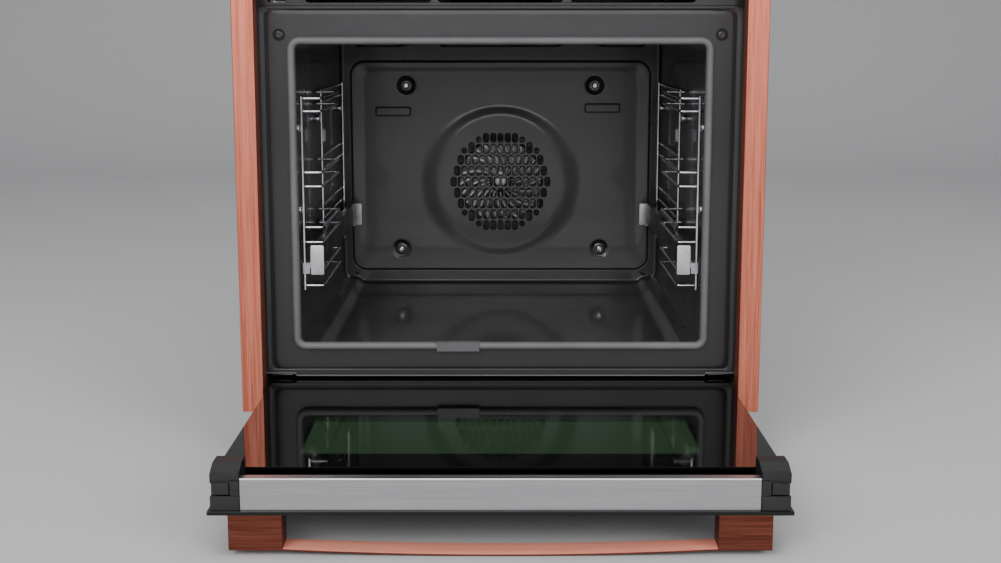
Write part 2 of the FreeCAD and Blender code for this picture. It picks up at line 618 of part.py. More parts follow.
def rail_inner():
    x1 = RAIL_WEB_X - RAIL_MID_W - 2 * RAIL_GAP
    bar = box(x1 - RAIL_INNER_W - 1.5, x1, RAIL_FRONT - 1, RAIL_Y1 - 3, RAIL_Z0 + 3, RAIL_Z0 + RAIL_H - 3)
    plate = box(RAIL_WEB_X - 15.7, RAIL_WEB_X - 0.4, RAIL_FRONT - 2, RAIL_FRONT - 0.5, RAIL_Z0 - 7,
                RAIL_Z0 + RAIL_H + 8)
    return fused([bar, plate])


# ---- door guide -------------------------------------------------------------------------
def door_rail():
    slot = 2 * (ROLLER_R + SLOT_CLEAR)
    z0 = DOOR_AXIS_Z - slot / 2 - SHEET
    z1 = DOOR_AXIS_Z + slot / 2 + SHEET
    channel = box(CASE_IN - DOOR_RAIL_DEPTH, CASE_IN, 2.0, BLANKET_BACK, z0, z1)
    room = box(CASE_IN - DOOR_RAIL_DEPTH - 1, CASE_IN - SHEET, 1.0, BLANKET_BACK + 1, z0 + SHEET, z1 - SHEET)
    return channel.cut(room)


def hinge_carriage():
    y0 = DOOR_Y1 - CARRIAGE_LAP
    x0 = FRAME_X + 0.5
    plate = box(x0, x0 + 2, y0, y0 + CARRIAGE_L, DOOR_AXIS_Z - 10, DOOR_AXIS_Z + 14)
    web = CASE_IN - SHEET
    axle = rod_x(AXLE_R, ROLLER_Y, DOOR_AXIS_Z, x0 + 1, web - 0.3)
    reach = ROLLER_R - 0.2
    shoe = box(x0 + 1, web - 0.5, y0 + 8, y0 + 22, DOOR_AXIS_Z - reach, DOOR_AXIS_Z + reach)
    pivot = rod_x(PIVOT_R, y0 + 10, DOOR_AXIS_Z + 4, FRAME_X - 11, x0 + 1)
    return fused([plate, axle, shoe, pivot])


def roller():
    x1 = CASE_IN - SHEET - 0.6
    wheel = rod_x(ROLLER_R, ROLLER_Y, DOOR_AXIS_Z, x1 - ROLLER_W, x1)
    return wheel.cut(rod_x(AXLE_R + FIT, ROLLER_Y, DOOR_AXIS_Z, x1 - ROLLER_W - 1, x1 + 1))


# ---- door -----------------------------------------------------------------------------------
def door_outer_glass():
    return box(-DOOR_X, DOOR_X, DOOR_Y0, DOOR_Y1, DOOR_Z0, DOOR_Z0 + GLASS_T)


def door_frame():
    y0 = DOOR_INNER_Y0
    side = box(FRAME_X - 10.5, FRAME_X, y0, DOOR_Y1, DOOR_FZ0, DOOR_FZ1)
    side = side.cut(box(FRAME_X - 12, FRAME_X - 1.5, y0 - 1, DOOR_Y1 - 19.5, DOOR_FZ0 + 2, DOOR_FZ1 - 1.5))
    side = side.cut(rod_x(PIVOT_R + FIT, DOOR_Y1 - CARRIAGE_LAP + 10, DOOR_AXIS_Z + 4, FRAME_X - 12, FRAME_X + 1))
    rear_x = FRAME_X - 10.5
    rear = box(-rear_x, rear_x, DOOR_Y1 - 18, DOOR_Y1, DOOR_FZ0, DOOR_FZ1)
    rear = rear.cut(box(-rear_x - 1, rear_x + 1, DOOR_Y1 - 19, DOOR_Y1 - 2, DOOR_FZ0 + 2, DOOR_FZ1 - 1.5))
    return [side, mirrored(side), rear]


def door_middle_glass():
    x = FRAME_X - 1.7
    return box(-x, x, DOOR_INNER_Y0 + 22, DOOR_Y1 - 20, DOOR_FZ0 + 12, DOOR_FZ0 + 15)


def door_inner_glass():
    return box(-FRAME_X, FRAME_X, DOOR_INNER_Y0, DOOR_Y1 - 2, DOOR_FZ1, DOOR_FZ1 + INNER_GLASS_T)


def door_top_strip():
    y0 = DOOR_Y0 + 2.5
    x = STRIP_HALF - 0.2
    top = DOOR_FZ1 + INNER_GLASS_T + 0.5
    face = box(-x, x, y0, y0 + STRIP_T, DOOR_FZ0, top)
    lip = box(-x, x, y0, y0 + 9, top - 1.2, top)
    foot = box(-x, x, y0, y0 + 22, DOOR_FZ0, DOOR_FZ0 + 1.2)
    return fused([face, lip, foot])


def door_end_cap():
    y0 = DOOR_Y0 + 2
    y1 = DOOR_INNER_Y0 - 0.3
    outline = [(y0, DOOR_FZ0), (y1, DOOR_FZ0), (y1, CAP_TOP), (y0 + 14, CAP_TOP), (y0 + 1, CAP_FRONT_TOP),
               (y0 + 1, 35), (y0, 23)]
    points = [Vector(STRIP_HALF, y, z) for y, z in outline]
    body = Part.Face(Part.makePolygon(points + points[:1])).extrude(Vector(FRAME_X - 0.1 - STRIP_HALF, 0, 0))
    recess = box(STRIP_HALF + 6, FRAME_X + 1, y0 - 1, y0 + 5, 23, 35)
    return body.cut(recess)


def handle_block():
    low = DOOR_Z0 - HANDLE_DROP
    return box(HANDLE_IN_X, HANDLE_OUT_X, HANDLE_Y, HANDLE_Y + HANDLE_D, low, DOOR_Z0)


def handle_bar():
    low = DOOR_Z0 - HANDLE_DROP
    ends = [Vector(s * HANDLE_IN_X, HANDLE_Y, low) for s in (-1, 1)]
    tops = [v + Vector(0, 0, BAR_END_T) for v in ends]
    low_mid = Vector(0, HANDLE_Y, low - HANDLE_BOW)
    top_mid = low_mid + Vector(0, 0, BAR_MID_T)
    edges = [Part.Arc(ends[0], low_mid, ends[1]).toShape(), Part.makeLine(ends[1], tops[1]),
             Part.Arc(tops[1], top_mid, tops[0]).toShape(), Part.makeLine(tops[0], ends[0])]
    return Part.Face(Part.Wire(edges)).extrude(Vector(0, HANDLE_D - 2, 0))


# ---- trims and control panel ---------------------------------------------------------------
def side_trim():
    x1 = FRONT_X
    bar = box(TRIM_IN, x1, FACE_Y, -SHEET, TRIM_Z0, FRONT_TOP)
    room = box(TRIM_IN + TRIM_T, x1 - TRIM_T, FACE_Y + TRIM_T, 0, TRIM_Z0 + TRIM_T, FRONT_TOP - TRIM_T)
    return bar.cut(room)


def control_frame():
    x = TRIM_IN - CONTROL_GAP - 1
    y = FACE_Y + CONTROL_GLASS_T
    z0 = CONTROL_Z0 + 1.5
    z1 = FRONT_TOP - 1.5
    ring = box(-x, x, y, 0, z0, z1).cut(box(-x + 2, x - 2, y - 1, 1, z0 + 2, z1 - 2))
    back = box(-CASE_IN, CASE_IN, 0, 2, z0, CASE_Z1)
    brow = box(-x, x, 0, 2, BODY_TOP + 0.1, z1)
    back = back.cut(box(-90, 90, -1, 3, z0 + 10, z0 + 30))
    posts = [rod_y(3.0, s * 170, z, BOARD_Y + BOARD_T, 0.5) for s in (-1, 1) for z in (z0 + 20, z1 - 20)]
    return ring.multiFuse([back, brow] + posts).removeSplitter()


def control_glass():
    x = TRIM_IN - CONTROL_GAP
    glass = box(-x, x, FACE_Y, FACE_Y + CONTROL_GLASS_T, CONTROL_Z0, FRONT_TOP)
    z = CONTROL_Z
    shaft = rod_y(KNOB_SHAFT_R + 0.5, KNOB_X, z, FACE_Y - 1, FACE_Y + 6)
    button = rod_y(BUTTON_R + 0.3, BUTTON_X, z, FACE_Y - 1, FACE_Y + 6)
    return glass.cut([shaft, button])


def display_module():
    z = CONTROL_Z
    return box(-55, 55, FACE_Y + CONTROL_GLASS_T + 0.3, BOARD_Y, z - 20, z + 20)


def control_board():
    z = CONTROL_Z
    return box(-180, 180, BOARD_Y, BOARD_Y + BOARD_T, z - 34, z + 34)


def control_switches():
    z = CONTROL_Z
    encoder = box(KNOB_X - 9, KNOB_X + 9, -16, BOARD_Y, z - 9, z + 9)
    encoder = encoder.cut(rod_y(KNOB_SHAFT_R + FIT, KNOB_X, z, -17, -8))
    switch = box(BUTTON_X - 6, BUTTON_X + 6, SWITCH_Y, BOARD_Y, z - 6, z + 6)
    return [encoder, switch]


def selector_knob():
    z = CONTROL_Z
    grip = rod_y(KNOB_R, KNOB_X, z, FACE_Y - 0.4 - KNOB_H, FACE_Y - 0.4)
    rim = [e for e in grip.Edges if e.BoundBox.YMax < FACE_Y - KNOB_H and e.BoundBox.XLength > 1]
    grip = grip.makeFillet(1.5, rim[:1])
    mark = box(KNOB_X - 1, KNOB_X + 1, FACE_Y - KNOB_H - 1, FACE_Y - KNOB_H + 0.2, z + 8, z + 18)
    return grip.fuse(rod_y(KNOB_SHAFT_R, KNOB_X, z, FACE_Y - 1, -9)).cut(mark)


def power_button():
    z = CONTROL_Z
    plunger = rod_y(BUTTON_R, BUTTON_X, z, FACE_Y - 2, SWITCH_Y - BUTTON_TRAVEL - 0.3)
    collar = rod_y(BUTTON_R + 1.5, BUTTON_X, z, FACE_Y + CONTROL_GLASS_T + 0.1, FACE_Y + CONTROL_GLASS_T + 1.5)
    return fused([plunger, collar])


# ---- door lock, cooling, connection ----------------------------------------------------------
def latch_pawl():
    mid = LATCH_Z
    shank = box(LATCH_X0 + 5, LATCH_X1 - 4, 27, 72, mid - 3, mid + 3)
    nose = box(LATCH_X0 + 5, LATCH_X1 - 8, FRAME_BACK + 0.5, 27, mid - 3, mid + 3)
    return fused([shank, nose])


def latch_motor():
    mid = LATCH_Z
    case = box(-CASE_IN, LATCH_X1 + 10, 45, 95, FRAME_TOP + 0.5, CONTROL_Z0 - 2)
    guide = box(LATCH_X0 + 4.7, LATCH_X1 - 3.7, 44, 75, mid - 3.3, mid + 3.3)
    return case.cut(guide)


def cooling_duct():
    x = DUCT_X
    duct = box(-x, x, FRAME_BACK, DUCT_Y1, DUCT_Z0, DUCT_Z1)
    room = box(-x + SHEET, x - SHEET, FRAME_BACK - 1, DUCT_Y1 - SHEET, DUCT_Z0 + SHEET, DUCT_Z1 - SHEET)
    w = BLOWER_R + 20
    volute = box(-w, w, DUCT_Y1, BLOWER_Y + w, DUCT_Z0, BLOWER_TOP)
    well = box(-w + SHEET, w - SHEET, DUCT_Y1 + SHEET, BLOWER_Y + w - SHEET, DUCT_Z0 + SHEET, BLOWER_TOP - SHEET)
    throat = box(-w + 5, w - 5, DUCT_Y1 - 2, DUCT_Y1 + 2, DUCT_Z0 + 2, DUCT_Z1 - 2)
    inlet = rod_z(35, 0, BLOWER_Y, DUCT_Z0 - 1, DUCT_Z0 + 2)
    bore = rod_z(5.0, 0, BLOWER_Y, BLOWER_TOP - 2, BLOWER_TOP + 1)
    return duct.fuse(volute).cut([room, well, throat, inlet, bore])


def blower_wheel():
    z0 = DUCT_Z0 + 6
    z1 = BLOWER_TOP - 8
    hub = rod_z(BLOWER_R, 0, BLOWER_Y, z1 - 1, z1)
    ring = rod_z(BLOWER_R, 0, BLOWER_Y, z0, z0 + 1).cut(rod_z(BLOWER_R - 9, 0, BLOWER_Y, z0 - 1, z0 + 2))
    shaft = rod_z(3.0, 0, BLOWER_Y, z1 - 6, BLOWER_TOP + 18)
    blades = []
    for k in range(BLOWER_BLADES):
        blade = box(BLOWER_R - 8, BLOWER_R - 0.5, BLOWER_Y - 0.5, BLOWER_Y + 0.5, z0 + 0.5, z1 - 0.5)
        blade.rotate(Vector(0, BLOWER_Y, 0), Vector(0, 0, 1), 360.0 * k / BLOWER_BLADES)
        blades.append(blade)
    return fused([hub, ring, shaft] + blades)


def blower_motor():
    can = rod_z(28, 0, BLOWER_Y, BLOWER_TOP, BLOWER_TOP + 30)
    return can.cut(rod_z(3.0 + FIT, 0, BLOWER_Y, BLOWER_TOP - 1, BLOWER_TOP + 19))


def terminal_block():
    y1 = BODY_DEPTH - SHEET
    z0 = INLET_Z + INLET_R + 14
    block = box(INLET_X - 35, INLET_X + 35, y1 - 26, y1, z0, z0 + 50)
    wells = [rod_y(4.0, INLET_X + 16 * (k - 1.5), z0 + 25, y1 - 27, y1 - 12) for k in range(4)]
    return block.cut(wells)


def both(name, shape):
    """Write a right-hand piece and its mirror."""
    save(name + "_right", shape)
    save(name + "_left", mirrored(shape))


def main():
    os.makedirs("parts", exist_ok=True)
    pairs = {"side_panel": side_panel, "rack": rack, "rail_fixed": rail_fixed, "rail_middle": rail_middle,
             "rail_inner": rail_inner, "door_rail": door_rail, "roller": roller, "side_trim": side_trim}
    for name, make in pairs.items():
        both(name, make())
    singles = [base_plate, top_cover, rear_cover, bay_ceiling, insulation_blanket, front_frame, door_gasket,
               gasket_sleeve, frame_screws, vent_panel, cavity_shell, baffle_panel, baffle_screws, ring_heater,
               fan_impeller, fan_motor, grill_element, bottom_element, lamp_housing, lamp_glass,
               temperature_probe, rack_bushes, door_outer_glass, door_frame, door_middle_glass,
               door_inner_glass, door_top_strip, handle_bar, control_frame, control_glass, display_module,
               control_board, control_switches, selector_knob, power_button, latch_pawl, latch_motor,
               cooling_duct, blower_wheel, blower_motor, terminal_block]
    for make in singles:
        save(make.__name__, make())
    for name, make in (("door_end_caps", door_end_cap), ("handle_blocks", handle_block),
                       ("hinge_carriages", hinge_carriage)):
        shape = make()
        save(name, [shape, mirrored(shape)])


main()
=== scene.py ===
"""Looks of a built-in wall oven whose door folds level and slides away under the cavity.

All sizes are in metres, with X to the right, Y towards the back and Z up.
"""

import logging
import math
from collections.abc import Callable, Iterable, Sequence
from dataclasses import dataclass
from enum import Enum

import bmesh
import bpy
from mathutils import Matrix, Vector


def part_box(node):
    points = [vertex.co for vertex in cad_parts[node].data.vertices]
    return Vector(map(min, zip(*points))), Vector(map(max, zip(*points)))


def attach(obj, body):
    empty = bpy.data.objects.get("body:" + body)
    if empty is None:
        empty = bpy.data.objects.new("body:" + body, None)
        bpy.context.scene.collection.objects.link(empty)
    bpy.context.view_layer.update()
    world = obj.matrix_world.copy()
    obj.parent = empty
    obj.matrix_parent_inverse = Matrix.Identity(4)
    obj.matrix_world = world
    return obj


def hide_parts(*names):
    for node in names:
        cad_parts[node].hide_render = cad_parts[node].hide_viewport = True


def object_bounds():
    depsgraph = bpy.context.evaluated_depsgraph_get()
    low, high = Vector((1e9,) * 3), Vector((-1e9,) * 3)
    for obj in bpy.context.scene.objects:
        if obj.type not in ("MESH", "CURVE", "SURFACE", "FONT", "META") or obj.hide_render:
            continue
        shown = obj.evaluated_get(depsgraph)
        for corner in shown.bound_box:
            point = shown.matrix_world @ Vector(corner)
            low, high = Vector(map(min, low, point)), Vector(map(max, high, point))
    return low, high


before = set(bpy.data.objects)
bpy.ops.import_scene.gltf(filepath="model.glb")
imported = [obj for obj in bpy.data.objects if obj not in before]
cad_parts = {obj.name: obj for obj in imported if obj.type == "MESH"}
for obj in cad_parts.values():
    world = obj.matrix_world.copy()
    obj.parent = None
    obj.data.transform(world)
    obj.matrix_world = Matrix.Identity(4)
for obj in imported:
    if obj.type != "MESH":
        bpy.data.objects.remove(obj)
CAD_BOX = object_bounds()
LOG = logging.getLogger("wall_oven")

Colour = tuple[float, float, float, float]
Outline = list[tuple[float, float]]
Edges = tuple[float, float, float, float]
Loop = list[Vector]
MM = 0.001


class Grain(Enum):
    """The way that a brushed metal's grain runs, as the stretch of its noise along X, Y and Z."""

    ALONG_X = (14.0, 900.0, 900.0)
    ALONG_Y = (900.0, 14.0, 900.0)
    ALONG_Z = (900.0, 900.0, 14.0)


def tone(red: int, green: int, blue: int) -> Colour:
    """Turns a display colour into the linear one that shaders take.

    Args:
        red: Red, 0 to 255.
        green: Green, 0 to 255.
        blue: Blue, 0 to 255.

    Returns:
        The linear colour, with alpha 1.
    """
    parts = [v / 255 for v in (red, green, blue)]
    linear = [v / 12.92 if v < 0.04045 else ((v + 0.055) / 1.055) ** 2.4 for v in parts]
    return (linear[0], linear[1], linear[2], 1.0)


def dimmed(colour: Colour, share: float, lift: float = 0.0) -> Colour:
    """A colour made darker or lighter by a share, with a little added."""
    return tuple(min(1.0, v * share + lift) for v in colour[:3]) + (1.0,)


def in_mm(profile: Iterable[Sequence[float]]) -> Outline:
    """A profile given in millimetres, in metres."""
    return [(a * MM, b * MM) for a, b in profile]


def circle(count: int) -> list[float]:
    """Angles at even steps round a circle."""
    return [2 * math.pi * k / count for k in range(count)]


def shrink(edges: Edges, by: float) -> Edges:
    """A rectangle's left, right, bottom and top, each moved inwards."""
    return (edges[0] + by, edges[1] - by, edges[2] + by, edges[3] - by)


def smooth(value: float, low: float, high: float) -> float:
    """Rises smoothly from 0 at low to 1 at high, or falls where high is below low."""
    t = min(1.0, max(0.0, (value - low) / (high - low)))
    return t * t * (3 - 2 * t)


# ---- finishes --------------------------------------------------------------------


class NodeSketch:
    """A material's node tree, drawn one node at a time."""

    def __init__(self, name: str) -> None:
        """Starts a material whose coordinates are the piece's own, in metres.

        Args:
            name: The material's name.
        """
        self.material = bpy.data.materials.new(name)
        self.material.use_nodes = True
        self.tree = self.material.node_tree
        self.shader = self.tree.nodes["Principled BSDF"]
        self.place = self.add("ShaderNodeTexCoord").outputs["Object"]

    def add(self, kind: str, inputs: dict | None = None, **settings: object) -> bpy.types.Node:
        """Adds a node and fills its sockets.

        Args:
            kind: The node's type.
            inputs: Values or other nodes' outputs, by socket name or number.
            settings: The node's own settings.

        Returns:
            The new node.
        """
        node = self.tree.nodes.new(kind)
        for key, value in settings.items():
            setattr(node, key, value)
        for key, value in (inputs or {}).items():
            if isinstance(value, bpy.types.NodeSocket):
                self.tree.links.new(value, node.inputs[key])
            else:
                node.inputs[key].default_value = value
        return node

    def stretched(self, stretch: Sequence[float]) -> bpy.types.NodeSocket:
        """The coordinates, scaled along each axis."""
        return self.add("ShaderNodeMapping", {"Vector": self.place, "Scale": stretch}).outputs[0]

    def noise(
        self,
        scale: float,
        detail: float = 2.0,
        rough: float = 0.5,
        stretch: Sequence[float] = (1.0, 1.0, 1.0),
    ) -> bpy.types.NodeSocket:
        """Cloudy noise.

        Args:
            scale: Its repeats in a metre.
            detail: How many finer layers it has.
            rough: How strong the finer layers are.
            stretch: Its scale along X, Y and Z.

        Returns:
            The noise, 0 to 1.
        """
        values = {"Vector": self.stretched(stretch), "Scale": scale, "Detail": detail, "Roughness": rough}
        return self.add("ShaderNodeTexNoise", values).outputs["Fac"]

    def cells(self, scale: float, output: str = "Distance", shape: str = "F1") -> bpy.types.NodeSocket:
        """A cell pattern: its distance field or each cell's own colour."""
        values = {"Vector": self.place, "Scale": scale}
        return self.add("ShaderNodeTexVoronoi", values, feature=shape).outputs[output]

    def spread(
        self, value: bpy.types.NodeSocket, low: float, high: float, start: float = 0.0, end: float = 1.0
    ) -> bpy.types.NodeSocket:
        """Maps a value from one range to another.

        Args:
            value: What is mapped.
            low: The result where value is at start or less.
            high: The result where value is at end or more.
            start: Where the range begins.
            end: Where the range ends.

        Returns:
            The mapped value.
        """
        values = {"Value": value, "From Min": start, "From Max": end, "To Min": low, "To Max": high}
        return self.add("ShaderNodeMapRange", values).outputs[0]

    def ramp(
        self, value: bpy.types.NodeSocket, stops: Sequence[tuple[float, Colour]]
    ) -> bpy.types.NodeSocket:
        """Colours a value.

        Args:
            value: The value, 0 to 1.
            stops: Each place on the ramp with its colour.

        Returns:
            The colour.
        """
        node = self.add("ShaderNodeValToRGB", {"Fac": value})
        band = node.color_ramp
        while len(band.elements) < len(stops):
            band.elements.new(0.5)
        for element, (place, colour) in zip(band.elements, stops):
            element.position = place
            element.color = colour
        return node.outputs["Color"]

    def mix(
        self,
        share: bpy.types.NodeSocket | float,
        first: bpy.types.NodeSocket | Colour,
        second: bpy.types.NodeSocket | Colour,
        way: str = "MIX",
    ) -> bpy.types.NodeSocket:
        """Mixes two colours.

        Args:
            share: How much of the second shows.
            first: The colour below.
            second: The colour above.
            way: How they mix.

        Returns:
            The mixed colour.
        """
        node = self.add("ShaderNodeMix", {0: share}, data_type="RGBA", blend_type=way)
        for number, value in ((6, first), (7, second)):
            if isinstance(value, bpy.types.NodeSocket):
                self.tree.links.new(value, node.inputs[number])
            else:
                node.inputs[number].default_value = value
        return node.outputs[2]

    def combine(self, way: str, first: object, second: object) -> bpy.types.NodeSocket:
        """One step of arithmetic on two values."""
        return self.add("ShaderNodeMath", {0: first, 1: second}, operation=way).outputs[0]

    def bump(self, *layers: tuple[bpy.types.NodeSocket, float]) -> bpy.types.NodeSocket:
        """Stacks bumps.

        Args:
            layers: Each height with its depth in metres.

        Returns:
            The bumped normal.
        """
        normal = None
        for height, depth in layers:
            values: dict = {"Height": height, "Distance": depth, "Strength": 1.0}
            if normal is not None:
                values["Normal"] = normal
            normal = self.add("ShaderNodeBump", values).outputs[0]
        return normal

    def shade(self, **sockets: object) -> bpy.types.Material:
        """Fills the shader's sockets, underscores standing for spaces, and hands back the material."""
        for key, value in sockets.items():
            socket = self.shader.inputs[key.replace("_", " ")]
            if isinstance(value, bpy.types.NodeSocket):
                self.tree.links.new(value, socket)
            else:
                socket.default_value = value
        return self.material


@dataclass(frozen=True)
class Finish:
    """A surface finish, made once and shared by every piece that has it.

    Attributes:
        name: The material's name.
        slot: The record's material slot that it belongs to; not used.
    """

    name: str
    slot: str

    def compose(self, sketch: NodeSketch) -> bpy.types.Material:
        """Draws the finish's nodes."""
        raise NotImplementedError

    def material(self) -> bpy.types.Material:
        """The finish's material, made at its first use."""
        return bpy.data.materials.get(self.name) or self.compose(NodeSketch(self.name))


@dataclass(frozen=True)
class Enamel(Finish):
    """Vitreous enamel: a dark glassy coat with fine flecks and a slightly wavy skin.

    Attributes:
        ground: The enamel's colour.
        fleck: The flecks' colour.
        gloss: Its mean roughness.
        wave: How deep the skin's waves are, in metres.
    """

    ground: Colour
    fleck: Colour
    gloss: float = 0.24
    wave: float = 0.0004

    def compose(self, sketch: NodeSketch) -> bpy.types.Material:
        """Draws the enamel's nodes."""
        specks = sketch.spread(sketch.cells(1500.0), 1.0, 0.0, 0.06, 0.2)
        chance = sketch.spread(sketch.noise(700.0, 1.0), 0.0, 1.0, 0.52, 0.6)
        flecks = sketch.combine("MULTIPLY", specks, chance)
        clouds = sketch.noise(5.0, 3.0, 0.5)
        thin = dimmed(self.ground, 0.86)
        base = sketch.mix(sketch.spread(clouds, 0.0, 1.0, 0.3, 0.7), thin, self.ground)
        skin = sketch.noise(60.0, 3.0, 0.5)
        film = sketch.spread(sketch.noise(12.0, 3.0, 0.5), self.gloss - 0.03, self.gloss + 0.06, 0.3, 0.7)
        return sketch.shade(
            Base_Color=sketch.mix(sketch.combine("MULTIPLY", flecks, 0.55), base, self.fleck),
            Roughness=film,
            Normal=sketch.bump((skin, self.wave), (sketch.noise(1400.0, 1.0), 0.000012)),
            IOR=1.52,
            Coat_Weight=0.35,
            Coat_Roughness=0.08,
        )


@dataclass(frozen=True)
class Brushed(Finish):
    """Metal brushed one way, with its grain in colour, roughness and depth.

    Attributes:
        bright: The lighter strokes' colour.
        deep: The darker strokes' colour.
        grain: The way that the grain runs.
        gloss: Its mean roughness.
        metal: How metallic it is, low on the copies whose bright colour paints light.
    """

    bright: Colour
    deep: Colour
    grain: Grain
    gloss: float = 0.34
    metal: float = 1.0

    def compose(self, sketch: NodeSketch) -> bpy.types.Material:
        """Draws the brushed metal's nodes."""
        fine = sketch.noise(1.0, 4.0, 0.65, self.grain.value)
        broad = sketch.noise(0.22, 3.0, 0.6, self.grain.value)
        finer, broader = sketch.combine("MULTIPLY", fine, 0.6), sketch.combine("MULTIPLY", broad, 0.4)
        strokes = sketch.combine("ADD", finer, broader)
        handled = sketch.noise(7.0, 3.0, 0.6)
        colour = sketch.ramp(strokes, ((0.34, self.deep), (0.62, self.bright)))
        dulled = dimmed(self.bright, 0.8)
        colour = sketch.mix(sketch.spread(handled, 0.0, 0.35, 0.45, 0.7), colour, dulled)
        rough = sketch.spread(strokes, self.gloss + 0.1, self.gloss - 0.06, 0.35, 0.65)
        return sketch.shade(
            Base_Color=colour,
            Metallic=self.metal,
            Roughness=sketch.combine("ADD", rough, sketch.spread(handled, -0.02, 0.08, 0.3, 0.7)),
            Normal=sketch.bump((strokes, 0.00012)),
            IOR=1.5,
        )


@dataclass(frozen=True)
class Zinc(Finish):
    """Zinc-coated sheet, with its crystals, rolling marks and handling scuffs.

    Attributes:
        bright: The brightest crystals' colour.
        deep: The darkest crystals' colour.
        spangle: Crystals in a metre.
    """

    bright: Colour
    deep: Colour
    spangle: float = 190.0

    def compose(self, sketch: NodeSketch) -> bpy.types.Material:
        """Draws the zinc's nodes."""
        crystal = sketch.add("ShaderNodeSeparateColor", {0: sketch.cells(self.spangle, "Color")}).outputs[0]
        rolled = sketch.noise(1.0, 3.0, 0.6, (60.0, 3.0, 260.0))
        scuff = sketch.spread(sketch.noise(24.0, 6.0, 0.7), 0.0, 1.0, 0.56, 0.7)
        colour = sketch.mix(sketch.spread(crystal, 0.25, 0.8), self.deep, self.bright)
        colour = sketch.mix(sketch.spread(rolled, 0.0, 0.3, 0.4, 0.7), colour, self.deep)
        colour = sketch.mix(sketch.combine("MULTIPLY", scuff, 0.25), colour, self.bright)
        worn = sketch.combine("MULTIPLY", scuff, 0.14)
        rough = sketch.combine("ADD", sketch.spread(crystal, 0.36, 0.46), worn)
        return sketch.shade(
            Base_Color=colour,
            Metallic=1.0,
            Roughness=rough,
            Normal=sketch.bump((sketch.noise(9.0, 2.0), 0.0004), (crystal, 0.00003)),
            IOR=1.5,
        )


@dataclass(frozen=True)
class BareMetal(Finish):
    """Drawn or plated metal, smooth with faint draw marks and smudges.

    Attributes:
        colour: The metal's colour.
        gloss: Its mean roughness.
        heat: How brown it is where it has been hot, 0 to 1.
    """

    colour: Colour
    gloss: float = 0.16
    heat: float = 0.0

    def compose(self, sketch: NodeSketch) -> bpy.types.Material:
        """Draws the bare metal's nodes."""
        smudge = sketch.noise(45.0, 4.0, 0.6)
        marks = sketch.noise(420.0, 3.0, 0.6)
        dull = dimmed(self.colour, 0.68)
        colour = sketch.mix(sketch.spread(smudge, 0.0, 0.8, 0.4, 0.7), self.colour, dull)
        stain = sketch.spread(sketch.noise(16.0, 5.0, 0.7), 0.0, self.heat, 0.35, 0.65)
        colour = sketch.mix(stain, colour, tone(92, 66, 50))
        return sketch.shade(
            Base_Color=colour,
            Metallic=1.0,
            Roughness=sketch.spread(smudge, self.gloss, self.gloss + 0.16, 0.35, 0.7),
            Normal=sketch.bump((marks, 0.00004)),
            IOR=1.5,
        )


@dataclass(frozen=True)
class Moulded(Finish):
    """Moulded plastic, rubber or ceramic: fine grain, uneven tone and rubbed patches.

    Attributes:
        colour: Its colour.
        gloss: Its mean roughness.
        grain: Grain marks in a metre.
        depth: How deep the grain is.
    """

    colour: Colour
    gloss: float = 0.48
    grain: float = 1500.0
    depth: float = 0.00006

    def compose(self, sketch: NodeSketch) -> bpy.types.Material:
        """Draws the moulded surface's nodes."""
        clouds = sketch.noise(18.0, 4.0, 0.6)
        pores = sketch.noise(self.grain, 2.0, 0.6)
        light = dimmed(self.colour, 1.35, 0.004)
        colour = sketch.mix(sketch.spread(clouds, 0.0, 0.7, 0.35, 0.7), self.colour, light)
        colour = sketch.mix(sketch.spread(pores, 0.0, 0.18, 0.5, 0.75), colour, light)
        return sketch.shade(
            Base_Color=colour,
            Roughness=sketch.spread(clouds, self.gloss - 0.08, self.gloss + 0.1, 0.3, 0.7),
            Normal=sketch.bump((pores, self.depth)),
            IOR=1.48,
        )


@dataclass(frozen=True)
class DarkGlass(Finish):
    """Toughened black glass with a faint film and dust.

    Attributes:
        colour: The glass's body colour.
        gloss: Its lowest roughness.
        film: How much its smears raise the roughness.
    """

    colour: Colour
    gloss: float = 0.025
    film: float = 0.05

    def compose(self, sketch: NodeSketch) -> bpy.types.Material:
        """Draws the black glass's nodes."""
        smear = sketch.noise(6.0, 5.0, 0.6, (1.0, 2.5, 2.5))
        dust = sketch.spread(sketch.cells(900.0), 1.0, 0.0, 0.03, 0.09)
        chance = sketch.spread(sketch.noise(180.0, 1.0), 0.0, 0.5, 0.58, 0.7)
        specks = sketch.combine("MULTIPLY", dust, chance)
        return sketch.shade(
            Base_Color=sketch.mix(specks, self.colour, tone(120, 122, 124)),
            Roughness=sketch.spread(smear, self.gloss, self.gloss + self.film, 0.4, 0.7),
            Normal=sketch.bump((sketch.noise(8.0, 2.0), 0.0001)),
            IOR=1.42,
        )


@dataclass(frozen=True)
class ClearGlass(Finish):
    """Clear soda glass with a green body tint and a light film.

    Attributes:
        tint: The glass's body colour.
    """

    tint: Colour

    def compose(self, sketch: NodeSketch) -> bpy.types.Material:
        """Draws the clear glass's nodes."""
        smear = sketch.noise(7.0, 4.0, 0.6)
        pale = dimmed(self.tint, 1.1)
        return sketch.shade(
            Base_Color=sketch.mix(smear, self.tint, pale),
            Transmission_Weight=1.0,
            Roughness=sketch.spread(smear, 0.01, 0.05, 0.4, 0.7),
            Normal=sketch.bump((sketch.noise(10.0, 2.0), 0.00006)),
            IOR=1.52,
        )


